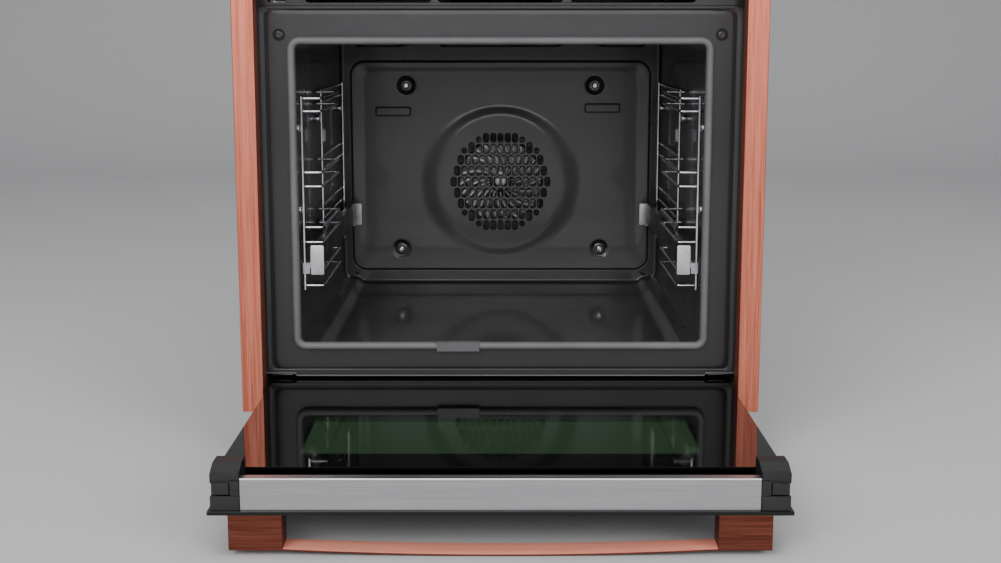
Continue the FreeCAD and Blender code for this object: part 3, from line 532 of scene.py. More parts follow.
@dataclass(frozen=True)
class LitPrint(Finish):
    """Lit display segments, a little uneven along their length.

    Attributes:
        colour: The light's colour.
    """

    colour: Colour

    def compose(self, sketch: NodeSketch) -> bpy.types.Material:
        """Draws the lit segments' nodes."""
        uneven = sketch.noise(160.0, 2.0, 0.5)
        dim = dimmed(self.colour, 0.7)
        glow = sketch.mix(uneven, dim, self.colour)
        return sketch.shade(
            Base_Color=glow,
            Emission_Color=glow,
            Emission_Strength=0.9,
            Roughness=sketch.spread(uneven, 0.3, 0.5),
            Normal=sketch.bump((uneven, 0.00002)),
            IOR=1.45,
        )


@dataclass(frozen=True)
class MineralWool(Finish):
    """Matted mineral wool in long tangled fibres.

    Attributes:
        colour: The wool's colour.
    """

    colour: Colour

    def compose(self, sketch: NodeSketch) -> bpy.types.Material:
        """Draws the wool's nodes."""
        fibres = sketch.noise(1.0, 8.0, 0.75, (180.0, 40.0, 520.0))
        tufts = sketch.noise(38.0, 5.0, 0.7)
        dark = dimmed(self.colour, 0.45)
        colour = sketch.mix(sketch.spread(fibres, 0.0, 1.0, 0.35, 0.65), dark, self.colour)
        return sketch.shade(
            Base_Color=colour,
            Roughness=sketch.spread(tufts, 0.82, 0.96),
            Normal=sketch.bump((tufts, 0.004), (fibres, 0.0012)),
            IOR=1.4,
        )


@dataclass(frozen=True)
class CircuitBoard(Finish):
    """Green solder mask over copper tracks.

    Attributes:
        mask: The mask's colour over bare board.
        track: Its colour over copper.
    """

    mask: Colour
    track: Colour

    def compose(self, sketch: NodeSketch) -> bpy.types.Material:
        """Draws the board's nodes."""
        values = {"Vector": sketch.stretched((1.0, 1.0, 1.0)), "Scale": 90.0, "Mortar Size": 0.08}
        tracks = sketch.add("ShaderNodeTexBrick", values).outputs["Fac"]
        flux = sketch.noise(40.0, 3.0, 0.6)
        colour = sketch.mix(tracks, self.mask, self.track)
        return sketch.shade(
            Base_Color=sketch.mix(sketch.spread(flux, 0.0, 0.3, 0.4, 0.7), colour, self.mask),
            Roughness=sketch.spread(flux, 0.25, 0.5),
            Normal=sketch.bump((tracks, 0.00008)),
            IOR=1.5,
        )


@dataclass(frozen=True)
class Paper(Finish):
    """Matt studio paper with a barely uneven tone.

    Attributes:
        colour: The paper's colour.
    """

    colour: Colour

    def compose(self, sketch: NodeSketch) -> bpy.types.Material:
        """Draws the paper's nodes."""
        clouds = sketch.noise(1.5, 3.0, 0.5)
        dim = dimmed(self.colour, 0.96)
        return sketch.shade(
            Base_Color=sketch.mix(clouds, dim, self.colour),
            Roughness=sketch.spread(clouds, 0.75, 0.9),
            Normal=sketch.bump((sketch.noise(300.0, 2.0), 0.0002)),
            IOR=1.4,
        )


BODY_ENAMEL = Enamel("body_enamel", "enamel", tone(42, 42, 43), tone(92, 92, 94), 0.34, 0.0003)
# Painted highlight: lighter grey enamel for the frame's foot beads.
BEAD_PAINTED_HIGHLIGHT = Enamel("bead_painted_highlight", "enamel", tone(96, 96, 98), tone(150, 150, 152), 0.2, 0.0002)
CAVITY_ENAMEL = Enamel("cavity_enamel", "enamel", tone(52, 52, 53), tone(98, 100, 102), 0.3, 0.0004)
PANEL_ENAMEL = Enamel("panel_enamel", "enamel", tone(76, 76, 77), tone(116, 118, 120), 0.32, 0.0003)
# The door frame's own black enamel, also used as painted shade in the frame's groove and the cooling duct.
DARK_ENAMEL_AND_SHADE = Enamel("dark_enamel_and_shade", "enamel", tone(20, 20, 21), tone(60, 60, 62), 0.34)
CASING = Zinc("zinc_casing", "casing_steel", tone(204, 207, 210), tone(172, 176, 180))
COPPER_UP = Brushed(
    "copper_upright", "copper_trim",
    tone(252, 156, 130), tone(188, 88, 66), Grain.ALONG_Z, 0.36
)
# Painted light: a bright, barely metallic copy of the copper for the handle bar's upper face.
COPPER_PAINTED_LIGHT = Brushed(
    "copper_lit_edge", "copper_trim",
    tone(255, 172, 148), tone(244, 138, 114), Grain.ALONG_X, 0.42, 0.05
)
# Painted shade: a darker copy of the copper for the handle blocks and the bar's front face and ends.
COPPER_PAINTED_SHADE = Brushed(
    "copper_painted_shade", "copper_trim",
    tone(146, 84, 68), tone(74, 36, 28), Grain.ALONG_X, 0.4
)
ALUMINIUM = Brushed(
    "satin_aluminium_strip", "satin_aluminium",
    tone(194, 194, 196), tone(176, 176, 178), Grain.ALONG_X, 0.36
)
CHROME = BareMetal("chromed_wire", "chrome_wire", tone(226, 227, 230), 0.1)
PLATED = BareMetal("plated_strip", "plated_steel", tone(198, 200, 203), 0.22)
DARK_PLATED = BareMetal("dark_plated_strip", "plated_steel", tone(92, 93, 95), 0.26)
SATIN = BareMetal("satin_plate", "plated_steel", tone(226, 227, 229), 0.42)
# Painted light: a near-white, barely metallic copy of the fan's sheet that brightens the hub and blades
# seen through the air holes.
FAN_PAINTED_LIGHT = Brushed(
    "fan_sheet_painted_light", "plated_steel",
    tone(255, 255, 255), tone(205, 205, 205), Grain.ALONG_X, 0.3, 0.25
)
ELEMENT = BareMetal("element_sheath", "element_steel", tone(46, 45, 44), 0.38, 0.15)
DARK_PLASTIC = Moulded("moulded_dark_plastic", "dark_plastic", tone(21, 21, 22), 0.42)
CAP_PLASTIC = Moulded("cap_block_plastic", "dark_plastic", tone(30, 30, 31), 0.34)
# Painted highlight: near-white metal for the bead along the door strip's upper edge.
STRIP_PAINTED_HIGHLIGHT = Brushed(
    "strip_painted_highlight", "satin_aluminium",
    tone(255, 255, 255), tone(236, 236, 236), Grain.ALONG_X, 0.4, 0.4
)
RUBBER = Moulded("grey_silicone", "grey_rubber", tone(102, 102, 103), 0.5, 2200.0, 0.00006)
COPPER_KNOB = Brushed(
    "copper_knob", "copper_trim",
    tone(236, 160, 140), tone(190, 112, 94), Grain.ALONG_X, 0.3
)
MARK_PRINT = Moulded("pale_print", "dark_plastic", tone(206, 206, 204), 0.5)
LIT_PRINT = LitPrint("lit_clock_print", "dark_plastic", tone(236, 240, 246))
SLEEVE = Moulded("sleeve_silicone", "grey_rubber", tone(98, 98, 99), 0.4, 2200.0, 0.00003)
CERAMIC = Moulded("terminal_ceramic", "ceramic_block", tone(214, 210, 200), 0.4)
BLACK_GLASS = DarkGlass("toughened_black_glass", "black_glass", tone(11, 13, 12))
PRINTED_GLASS = DarkGlass("printed_glass_border", "clear_glass", tone(10, 10, 10), 0.03)
WINDOW_GLASS = DarkGlass("tinted_door_window", "clear_glass", tone(37, 55, 36), 0.04)
FADE_GLASS = DarkGlass("half_printed_glass", "clear_glass", tone(24, 35, 24), 0.03)
CLEAR_GLASS = ClearGlass("clear_lamp_glass", "clear_glass", tone(236, 244, 240))
WOOL = MineralWool("mineral_wool", "wool", tone(196, 182, 128))
BOARD = CircuitBoard("control_board_mask", "circuit_board", tone(16, 70, 38), tone(60, 130, 70))
SHADOW = Moulded("unlit_inside", "dark_plastic", tone(9, 9, 9), 0.7)


# ---- making pieces ---------------------------------------------------------------


@dataclass
class Shell:
    """A mesh being built: its points, its faces and which of its finishes each face has."""

    points: list[Vector]
    faces: list[list[int]]
    kinds: list[int]

    @classmethod
    def blank(cls) -> "Shell":
        """A shell with nothing in it."""
        return cls([], [], [])

    def add_face(self, corners: Iterable[int], kind: int = 0) -> None:
        """Adds one face between points that are there."""
        self.faces.append(list(corners))
        self.kinds.append(kind)

    def adopt(self, mesh: bmesh.types.BMesh) -> "Shell":
        """Takes over a worked mesh, whose faces carry their finish, and frees it."""
        mesh.verts.index_update()
        start = len(self.points)
        self.points.extend(point.co.copy() for point in mesh.verts)
        for face in mesh.faces:
            self.add_face((start + point.index for point in face.verts), face.material_index)
        mesh.free()
        return self

    def loops(
        self, rows: Sequence[Loop], closed: bool = True, kind: int = 0, cap: bool = False
    ) -> "Shell":
        """Joins rows of points with four-sided faces.

        Args:
            rows: The rows, each with the same number of points.
            closed: Whether each row is a ring.
            kind: Which finish the faces have.
            cap: Whether the last row is closed with one face.

        Returns:
            This shell.
        """
        start = len(self.points)
        count = len(rows[0])
        for row in rows:
            self.points.extend(row)
        for r in range(len(rows) - 1):
            for i in range(count if closed else count - 1):
                a = start + r * count + i
                b = start + r * count + (i + 1) % count
                self.add_face((a, b, b + count, a + count), kind)
        if cap:
            self.add_face((start + (len(rows) - 1) * count + i for i in range(count)), kind)
        return self

    def turned(
        self,
        profile: Outline,
        centre: Vector,
        along: Vector,
        sides: int = 40,
        kind: int = 0,
        cap: bool = True,
    ) -> "Shell":
        """Turns a profile about an axis.

        Args:
            profile: Radius and distance along the axis, from one end to the other.
            centre: A point on the axis, where distance is nought.
            along: The axis's direction.
            sides: Points round it.
            kind: Which finish the faces have.
            cap: Whether the last ring is closed.

        Returns:
            This shell.
        """
        axis = along.normalized()
        across = axis.orthogonal().normalized()
        other = axis.cross(across)
        turns = circle(sides)
        rows = [
            [centre + axis * h + (across * math.cos(t) + other * math.sin(t)) * r for t in turns]
            for r, h in profile
        ]
        return self.loops(rows, kind=kind, cap=cap)

    def pierced(
        self,
        rim: Loop,
        holes: Sequence[Loop],
        inward: Vector,
        kind: int = 0,
        wall: int = 0,
        pinch: float = 1.0,
    ) -> "Shell":
        """A flat sheet with holes through it.

        Args:
            rim: The sheet's outline.
            holes: The holes' outlines.
            inward: From the sheet's face to the back of the holes' walls.
            kind: Which finish the sheet has.
            wall: Which finish the holes' walls have.
            pinch: How much smaller the holes are at the back, as a share.

        Returns:
            This shell.
        """
        mesh = bmesh.new()
        rings = [[mesh.verts.new(point) for point in ring] for ring in (rim, *holes)]
        edges = [mesh.edges.new((ring[i - 1], ring[i])) for ring in rings for i in range(len(ring))]
        bmesh.ops.triangle_fill(
            mesh, use_beauty=True, use_dissolve=False, edges=edges, normal=-inward.normalized()
        )
        for face in mesh.faces:
            face.material_index = kind
        for ring in rings[1:]:
            middle = sum((point.co for point in ring), Vector()) / len(ring)
            back = [mesh.verts.new(middle + (point.co - middle) * pinch + inward) for point in ring]
            for i in range(len(ring)):
                mesh.faces.new((ring[i], ring[i - 1], back[i - 1], back[i])).material_index = wall
        return self.adopt(mesh)

    def raised(
        self,
        edges: Sequence[float],
        radius: float,
        height: float,
        face: Callable[[float, float, float], Vector],
        band: float = 0.0,
        kind: int = 0,
    ) -> "Shell":
        """A pressed bead round a rounded rectangle, or a pressed pad over all of it.

        Args:
            edges: Its left, right, bottom and top on the face.
            radius: Its corner radius.
            height: How far it stands out.
            face: Turns a place across, a place up and a height into a point.
            band: The bead's width, or nought for a pad.
            kind: Which finish the faces have.

        Returns:
            This shell.
        """
        if band:
            turns = [math.pi * k / 8 for k in range(9)]
            steps = [(band / 2 * (1 - math.cos(t)), height * math.sin(t)) for t in turns]
        else:
            shares = ((0.0, 0.0), (0.25, 0.7), (0.5, 0.93), (0.75, 1.0))
            steps = [(radius * a, height * b) for a, b in shares]
        rows = []
        for inset, out in steps:
            box = (edges[0] + inset, edges[1] - inset, edges[2] + inset, edges[3] - inset)
            outline = rounded(*box, max(radius - inset, 0.2 * MM), 6, 6)
            rows.append([face(a, b, out) for a, b in outline])
        return self.loops(rows, kind=kind, cap=not band)

    def screw(self, spot: Vector, out: Vector, radius: float, height: float, kind: int = 0) -> "Shell":
        """A flanged screw with a socket in its head.

        Args:
            spot: The middle of its seat.
            out: The way that it faces.
            radius: The flange's radius.
            height: The head's height.
            kind: Which finish the faces have.

        Returns:
            This shell.
        """
        flange = ((1.0, 0.0), (1.0, 0.18), (0.93, 0.3), (0.74, 0.34))
        head = ((0.7, 0.8), (0.6, 0.98), (0.36, 1.0), (0.32, 0.5))
        profile = [(radius * a, height * b) for a, b in flange + head] + [(0.02 * MM, height * 0.46)]
        return self.turned(profile, spot, out, 24, kind)

    def block(self, low: Vector, high: Vector, edge: float = 0.0006, kind: int = 0) -> "Shell":
        """A block with its edges rounded.

        Args:
            low: Its lowest corner.
            high: Its highest corner.
            edge: The edges' radius.
            kind: Which finish the faces have.

        Returns:
            This shell.
        """
        mesh = bmesh.new()
        bmesh.ops.create_cube(mesh, size=1.0)
        middle = (low + high) / 2
        for point in mesh.verts:
            point.co = Vector([middle[k] + point.co[k] * (high[k] - low[k]) for k in range(3)])
        bmesh.ops.bevel(
            mesh, geom=mesh.edges[:] + mesh.verts[:], offset=edge, segments=2, profile=0.5, affect="EDGES"
        )
        for face in mesh.faces:
            face.material_index = kind
        return self.adopt(mesh)


def piece(
    name: str,
    shell: Shell,
    finishes: Sequence[Finish],
    body: str,
    stands_for: Iterable[str] = (),
    crease: float = 38.0,
) -> bpy.types.Object:
    """Makes a piece from a shell, dresses it and joins it to a body.

    Args:
        name: The piece's name.
        shell: Its mesh.
        finishes: Its finishes, the first of which names its material slot.
        body: The body that it moves with.
        stands_for: The nodes that it stands for.
        crease: Faces that meet at more degrees than this keep a sharp edge.

    Returns:
        The piece.
    """
    mesh = bpy.data.meshes.new(name)
    mesh.from_pydata([tuple(p) for p in shell.points], [], shell.faces)
    for finish in finishes:
        mesh.materials.append(finish.material())
    mesh.polygons.foreach_set("material_index", shell.kinds)
    mesh.shade_smooth()
    mesh.set_sharp_from_angle(angle=math.radians(crease))
    mesh.validate()
    made = bpy.data.objects.new(name, mesh)
    bpy.context.scene.collection.objects.link(made)
    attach(made, body)
    if stands_for:
        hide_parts(*stands_for)
    LOG.info("%s: %d faces", name, len(mesh.polygons))
    return made


def dress(finish: Finish, *nodes: str, edge: float = 0.0) -> None:
    """Gives nodes that keep their own shape a finish, and rounds their edges.

    Args:
        finish: The finish.
        nodes: The nodes' names.
        edge: The radius of their rounded edges, or nought to leave them.
    """
    for name in nodes:
        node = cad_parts[name]
        for slot in node.material_slots:
            slot.material = finish.material()
        if edge:
            weld = node.modifiers.new("weld", "WELD")
            weld.merge_threshold = 0.00001
            bevel = node.modifiers.new("edges", "BEVEL")
            bevel.width = edge
            bevel.segments = 2
            bevel.limit_method = "ANGLE"
            bevel.angle_limit = math.radians(40)
            bevel.harden_normals = True
    LOG.info("%s dresses %s", finish.name, ", ".join(nodes))


def rounded(
    x0: float, x1: float, z0: float, z1: float, radius: float, corner: int = 8, side: int = 12
) -> Outline:
    """The outline of a rounded rectangle, anticlockwise from its lower left corner.

    Args:
        x0: Left side.
        x1: Right side.
        z0: Bottom.
        z1: Top.
        radius: The corners' radius.
        corner: Steps round each corner.
        side: Steps along each side.

    Returns:
        The points, as many for any size.
    """
    spots = ((x0, z0, 1, 1, 180), (x1, z0, -1, 1, 270), (x1, z1, -1, -1, 0), (x0, z1, 1, -1, 90))
    arcs = []
    for x, z, inward, upward, start in spots:
        turns = [math.radians(start + 90 * k / corner) for k in range(corner + 1)]
        cx, cz = x + inward * radius, z + upward * radius
        arcs.append([(cx + radius * math.cos(t), cz + radius * math.sin(t)) for t in turns])
    points: Outline = []
    for n, arc in enumerate(arcs):
        points.extend(arc)
        (ax, az), (bx, bz) = arc[-1], arcs[(n + 1) % 4][0]
        points.extend((ax + (bx - ax) * k / side, az + (bz - az) * k / side) for k in range(1, side))
    return points


def upright(outline: Outline, y: float) -> Loop:
    """An outline stood up at a depth."""
    return [Vector((x, y, z)) for x, z in outline]


def flat(outline: Outline, z: float) -> Loop:
    """An outline laid level at a height."""
    return [Vector((x, y, z)) for x, y in outline]


# ---- sub-assemblies --------------------------------------------------------------


@dataclass
class FrontFrame:
    """The enamelled frame round the cavity's mouth, its bead, gasket and plug screws.

    Attributes:
        groove: Depth of the stamped groove.
        groove_in: From the frame's side edges to the groove.
        foot: Height of the frame's lower strip under the hinge notches.
        notch: Width of each hinge notch.
        mouth_radius: Corner radius of the mouth.
        seal_width: Width of the gasket.
        seal_depth: How far the gasket stands out.
    """

    groove: float = 0.9 * MM
    groove_in: float = 8.2 * MM
    foot: float = 3.0 * MM
    notch: float = 36.7 * MM
    mouth_radius: float = 10.0 * MM
    seal_width: float = 8.8 * MM
    seal_depth: float = 7.0 * MM

    def build(self) -> None:
        """Makes the frame, its bead, the gasket and the screws."""
        low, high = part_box("front_frame")
        self.sheet(low, high)
        self.bead(low, high)
        self.gasket()
        self.plugs()
        dress(SLEEVE, "gasket_sleeve", edge=0.2 * MM)

    def sheet(self, low: Vector, high: Vector) -> None:
        """Makes the stamped sheet.

        Args:
            low: The frame's lowest corner.
            high: Its highest corner.
        """
        seal_low, seal_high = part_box("door_gasket")
        inner = shrink((seal_low.x, seal_high.x, seal_low.z, seal_high.z), 5.8 * MM)
        y = low.y
        base = low.z + self.foot
        rows = []
        for inset, back, radius in (
            (0.0, 1.4 * MM, 1.5 * MM),
            (0.0, 0.5 * MM, 1.5 * MM),
            (0.5 * MM, 0.0, 1.6 * MM),
            (self.groove_in - 1.6 * MM, 0.0, 7 * MM),
            (self.groove_in - 0.5 * MM, self.groove * 0.8, 8 * MM),
            (self.groove_in + 0.4 * MM, self.groove, 9 * MM),
            (self.groove_in + 1.4 * MM, self.groove * 0.8, 10 * MM),
            (self.groove_in + 3.0 * MM, 0.0, 11 * MM),
            (self.groove_in + 6.0 * MM, -0.1 * MM, 12 * MM),
            (self.groove_in + 14.0 * MM, -0.1 * MM, 14 * MM),
        ):
            edges = (low.x + inset, high.x - inset, base + inset * 0.65, high.z - inset * 0.5)
            rows.append(upright(rounded(*edges, radius, 8, 24), y + back))
        for inset, back in ((-9, 0.0), (-3, 0.0), (-1.2, 0.1), (-0.2, 0.7), (0.0, 1.5)):
            d = inset * MM
            ring = rounded(*shrink(inner, d), self.mouth_radius - d, 8, 24)
            rows.append(upright(ring, y + back * MM))
        shell = Shell.blank().loops(rows)
        per = len(rows[0])
        # Painted shade: the groove's bottom faces take the dark enamel.
        for face in range(4 * per, 6 * per):
            shell.kinds[face] = 1
        x = high.x - self.notch
        fold = ((1.4, 0.0), (0.4, 0.0), (0.0, 0.4), (0.0, 3.6))
        lip = [[Vector((s * x, y + d * MM, low.z + h * MM)) for s in (-1, 1)] for d, h in fold]
        shell.loops(lip, closed=False)
        piece("mouth_frame", shell, (BODY_ENAMEL, DARK_ENAMEL_AND_SHADE), "oven", ("front_frame",))

    def bead(self, low: Vector, high: Vector) -> None:
        """Makes the two rolled beads along the frame's foot, the lower one stepping over the notches, in a
        lighter enamel that paints the highlight along them.

        Args:
            low: The frame's lowest corner.
            high: Its highest corner.
        """
        x = high.x - self.notch
        base = low.z + 0.9 * MM
        step = base + self.foot
        lower = [(low.x + MM, step), (-x - 2 * MM, step), (-x, base)]
        lower += [(x, base), (x + 2 * MM, step), (high.x - MM, step)]
        upper = [(low.x + 11 * MM, low.z + 8.4 * MM), (high.x - 11 * MM, low.z + 8.4 * MM)]
        shell = Shell.blank()
        for line, size in ((lower, 0.9), (upper, 0.6)):
            turns = [math.radians(180 * k / 8) for k in range(9)]
            arc = [(low.y - math.sin(t) * size * MM, math.cos(t) * size * MM) for t in turns]
            rows = [[Vector((x, y, z + up)) for y, up in arc] for x, z in line]
            shell.loops(rows, closed=False)
        piece("frame_foot_beads", shell, (BEAD_PAINTED_HIGHLIGHT,), "oven")

    def gasket(self) -> None:
        """Makes the tubular door gasket with its seating foot."""
        low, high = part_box("door_gasket")
        half = self.seal_width / 2
        edges = (low.x, high.x, low.z, high.z)
        rows = []
        for k in range(17):
            t = math.pi * k / 16
            swell = math.sin(t) ** 0.6
            inset = half - half * math.cos(t)
            ring = rounded(*shrink(edges, inset), 14.8 * MM - inset, 12, 30)
            rows.append(upright(ring, high.y - self.seal_depth * swell))
        piece("mouth_gasket", Shell.blank().loops(rows), (RUBBER,), "oven", ("door_gasket",), 60)

    def plugs(self) -> None:
        """Makes the frame's two plug screws, domed with a driver recess."""
        low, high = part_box("frame_screws")
        radius = 5.9 * MM
        shell = Shell.blank()
        for side in (low.x + radius, high.x - radius):
            spot = Vector((side, 0.02, (low.z + high.z) / 2))
            profile = [(4.4, 0), (4.3, 0.6), (3.8, 1.0), (2.4, 1.2)]
            profile += [(1.7, 1.1), (1.5, 0.5), (0.8, 0.4), (0.05, 0.4)]
            shell.turned(in_mm(profile), spot, Vector((0, -1, 0)), 36)
            seat = [(7.2, -0.1), (7.1, 0.25), (4.4, 0.3), (4.3, -0.1)]
            shell.turned(in_mm(seat), spot, Vector((0, -1, 0)), 36, 1, False)
        piece("frame_plugs", shell, (BODY_ENAMEL, SHADOW), "oven", ("frame_screws",))


@dataclass
class CavityLiner:
    """The enamelled cavity: drawn corners, a dished floor, the fan chamber and its drawn rim.

    Attributes:
        floor_radius: Radius where the floor meets the side walls.
        roof_radius: Radius where the roof meets them.
        back_radius: Radius where the walls meet the back.
        dish: How far the floor's middle is pressed down from its sides.
        dish_in: From the side walls to the dished part.
        wall: Half the cavity's width.
        blades: Blades on the fan.
    """

    floor_radius: float = 20.0 * MM
    roof_radius: float = 14.0 * MM
    back_radius: float = 4.5 * MM
    dish: float = 6.5 * MM
    dish_in: float = 26.0 * MM
    wall: float = 240.0 * MM
    blades: int = 26

    def build(self) -> None:
        """Makes the liner and dresses what is mounted in it."""
        self.liner()
        dress(ELEMENT, "ring_heater", "grill_element", "bottom_element")
        self.impeller()
        dress(CHROME, "temperature_probe")
        dress(CLEAR_GLASS, "lamp_glass")
        dress(CERAMIC, "lamp_housing")

    def impeller(self) -> None:
        """Makes the fan: a hub and a back plate with cupped blades standing on it, the hub and blades
        near-white as painted light.
        """
        low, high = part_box("fan_impeller")
        front, axis = low.y, (low.z + high.z) / 2
        centre, out = Vector((0, front, axis)), Vector((0, 1, 0))
        outer = (high.x - low.x) / 2
        shell = Shell.blank()
        rim = outer - 0.8 * MM
        plate = [(0.004, 2.0), (0.014, 1.0), (0.017, 3.0), (0.030, 4.5), (rim, 5.0), (rim, 6.2)]
        shell.turned([(r, h * MM) for r, h in plate], centre, out, 64, 1, False)
        cap = [(0.05 * MM, 0.2), (6 * MM, 0.3), (8 * MM, 1.4), (8 * MM, 2.6)]
        shell.turned([(r, h * MM) for r, h in cap], centre, out, 36, 0, False)
        shaft = [(0.003, 2.0), (0.003, (high.y - front) / MM - 0.1)]
        shell.turned([(r, h * MM) for r, h in shaft], centre, out, 20)
        for start in circle(self.blades):
            rows = []
            for step in range(9):
                share = step / 8
                radius = 0.017 + (outer - 0.5 * MM - 0.017) * share
                turn = start + 0.5 * share
                lean = (2.6 + 3.0 * share) * MM / radius
                rows.append([
                    centre + Vector((radius * math.cos(a), d * MM, radius * math.sin(a)))
                    for a, d in ((turn + lean, 0.2), (turn + 0.45 * lean, 1.0), (turn, 5.2))
                ])
            shell.loops(rows, closed=False)
        piece("fan_wheel", shell, (FAN_PAINTED_LIGHT, DARK_PLATED), "fan_impeller", ("fan_impeller",), 40)

    def liner(self) -> None:
        """Makes the cavity's inner skin from the mouth to the back of the fan chamber."""
        low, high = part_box("cavity_shell")
        sheet = 1.0 * MM
        wall, floor, roof = self.wall, low.z + sheet, high.z - sheet
        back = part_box("baffle_panel")[1].y + 1.0 * MM
        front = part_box("front_frame")[1].y
        reach = back - self.back_radius - front
        stations = [front + 0.2 * MM] + [front + reach * k / 90 for k in range(1, 91)]
        rows = [self.ring(wall, floor, roof, y, 0.0, front) for y in stations]
        for k in range(1, 7):
            t = math.radians(90 * k / 6)
            y = back - self.back_radius + self.back_radius * math.sin(t)
            rows.append(self.ring(wall, floor, roof, y, self.back_radius * (1 - math.cos(t)), front))
        rim_low, rim_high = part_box("baffle_panel")
        gap = 0.8 * MM
        x, z0, z1 = rim_high.x + gap, rim_low.z - gap, rim_high.z + gap
        pocket = high.y - sheet
        rows.append(self.ring(wall, floor, roof, back, self.back_radius + 0.6 * MM, front))
        rim = ((2.0, 0.0), (1.1, 0.0), (0.8, 0.3), (0.6, 1.3), (0.0, 12.0))
        steps = [(grow, back + depth * MM) for grow, depth in rim]
        for grow, y in steps + [(-1.0, pocket), (-8.0, pocket + 2 * MM)]:
            d = grow * MM
            rows.append(upright(rounded(*shrink((-x, x, z0, z1), -d), 21 * MM + d, 8, 96), y))
        shell = Shell.blank().loops(rows, cap=True)
        piece("cavity_liner", shell, (CAVITY_ENAMEL,), "oven", ("cavity_shell",), 50)

    def ring(
        self, wall: float, floor: float, roof: float, y: float, inset: float, front: float
    ) -> Loop:
        """One ring of the liner, with the floor's dish pressed into it.

        Args:
            wall: Half the cavity's width.
            floor: The floor's height.
            roof: The roof's height.
            y: The ring's depth.
            inset: How far its sides are drawn in.
            front: The mouth's depth.

        Returns:
            The ring's points.
        """
        edges = (-wall + inset, wall - inset, floor + inset, roof - inset)
        outline = self.mixed(edges, inset)
        lip = smooth(y, front + 12 * MM, front + 26 * MM)
        ring = []
        for x, z in outline:
            if z < floor + 6 * MM:
                side = wall - abs(x)
                raised = 1.0 - lip * smooth(side, self.dish_in - 5 * MM, self.dish_in + 6 * MM)
                z += self.dish * raised * smooth(side, -2 * MM, 16 * MM)
            ring.append(Vector((x, y, z)))
        return ring

    def mixed(self, edges: Edges, inset: float) -> Outline:
        """An outline with larger corners at the floor than at the roof.

        Args:
            edges: Left, right, bottom and top.
            inset: How far the sides are drawn in.

        Returns:
            The outline.
        """
        lower = rounded(*edges, max(8 * MM, self.floor_radius - inset), 8, 96)
        upper = rounded(*edges, max(8 * MM, self.roof_radius - inset), 8, 96)
        middle = (edges[2] + edges[3]) / 2
        return [a if a[1] < middle else b for a, b in zip(lower, upper)]


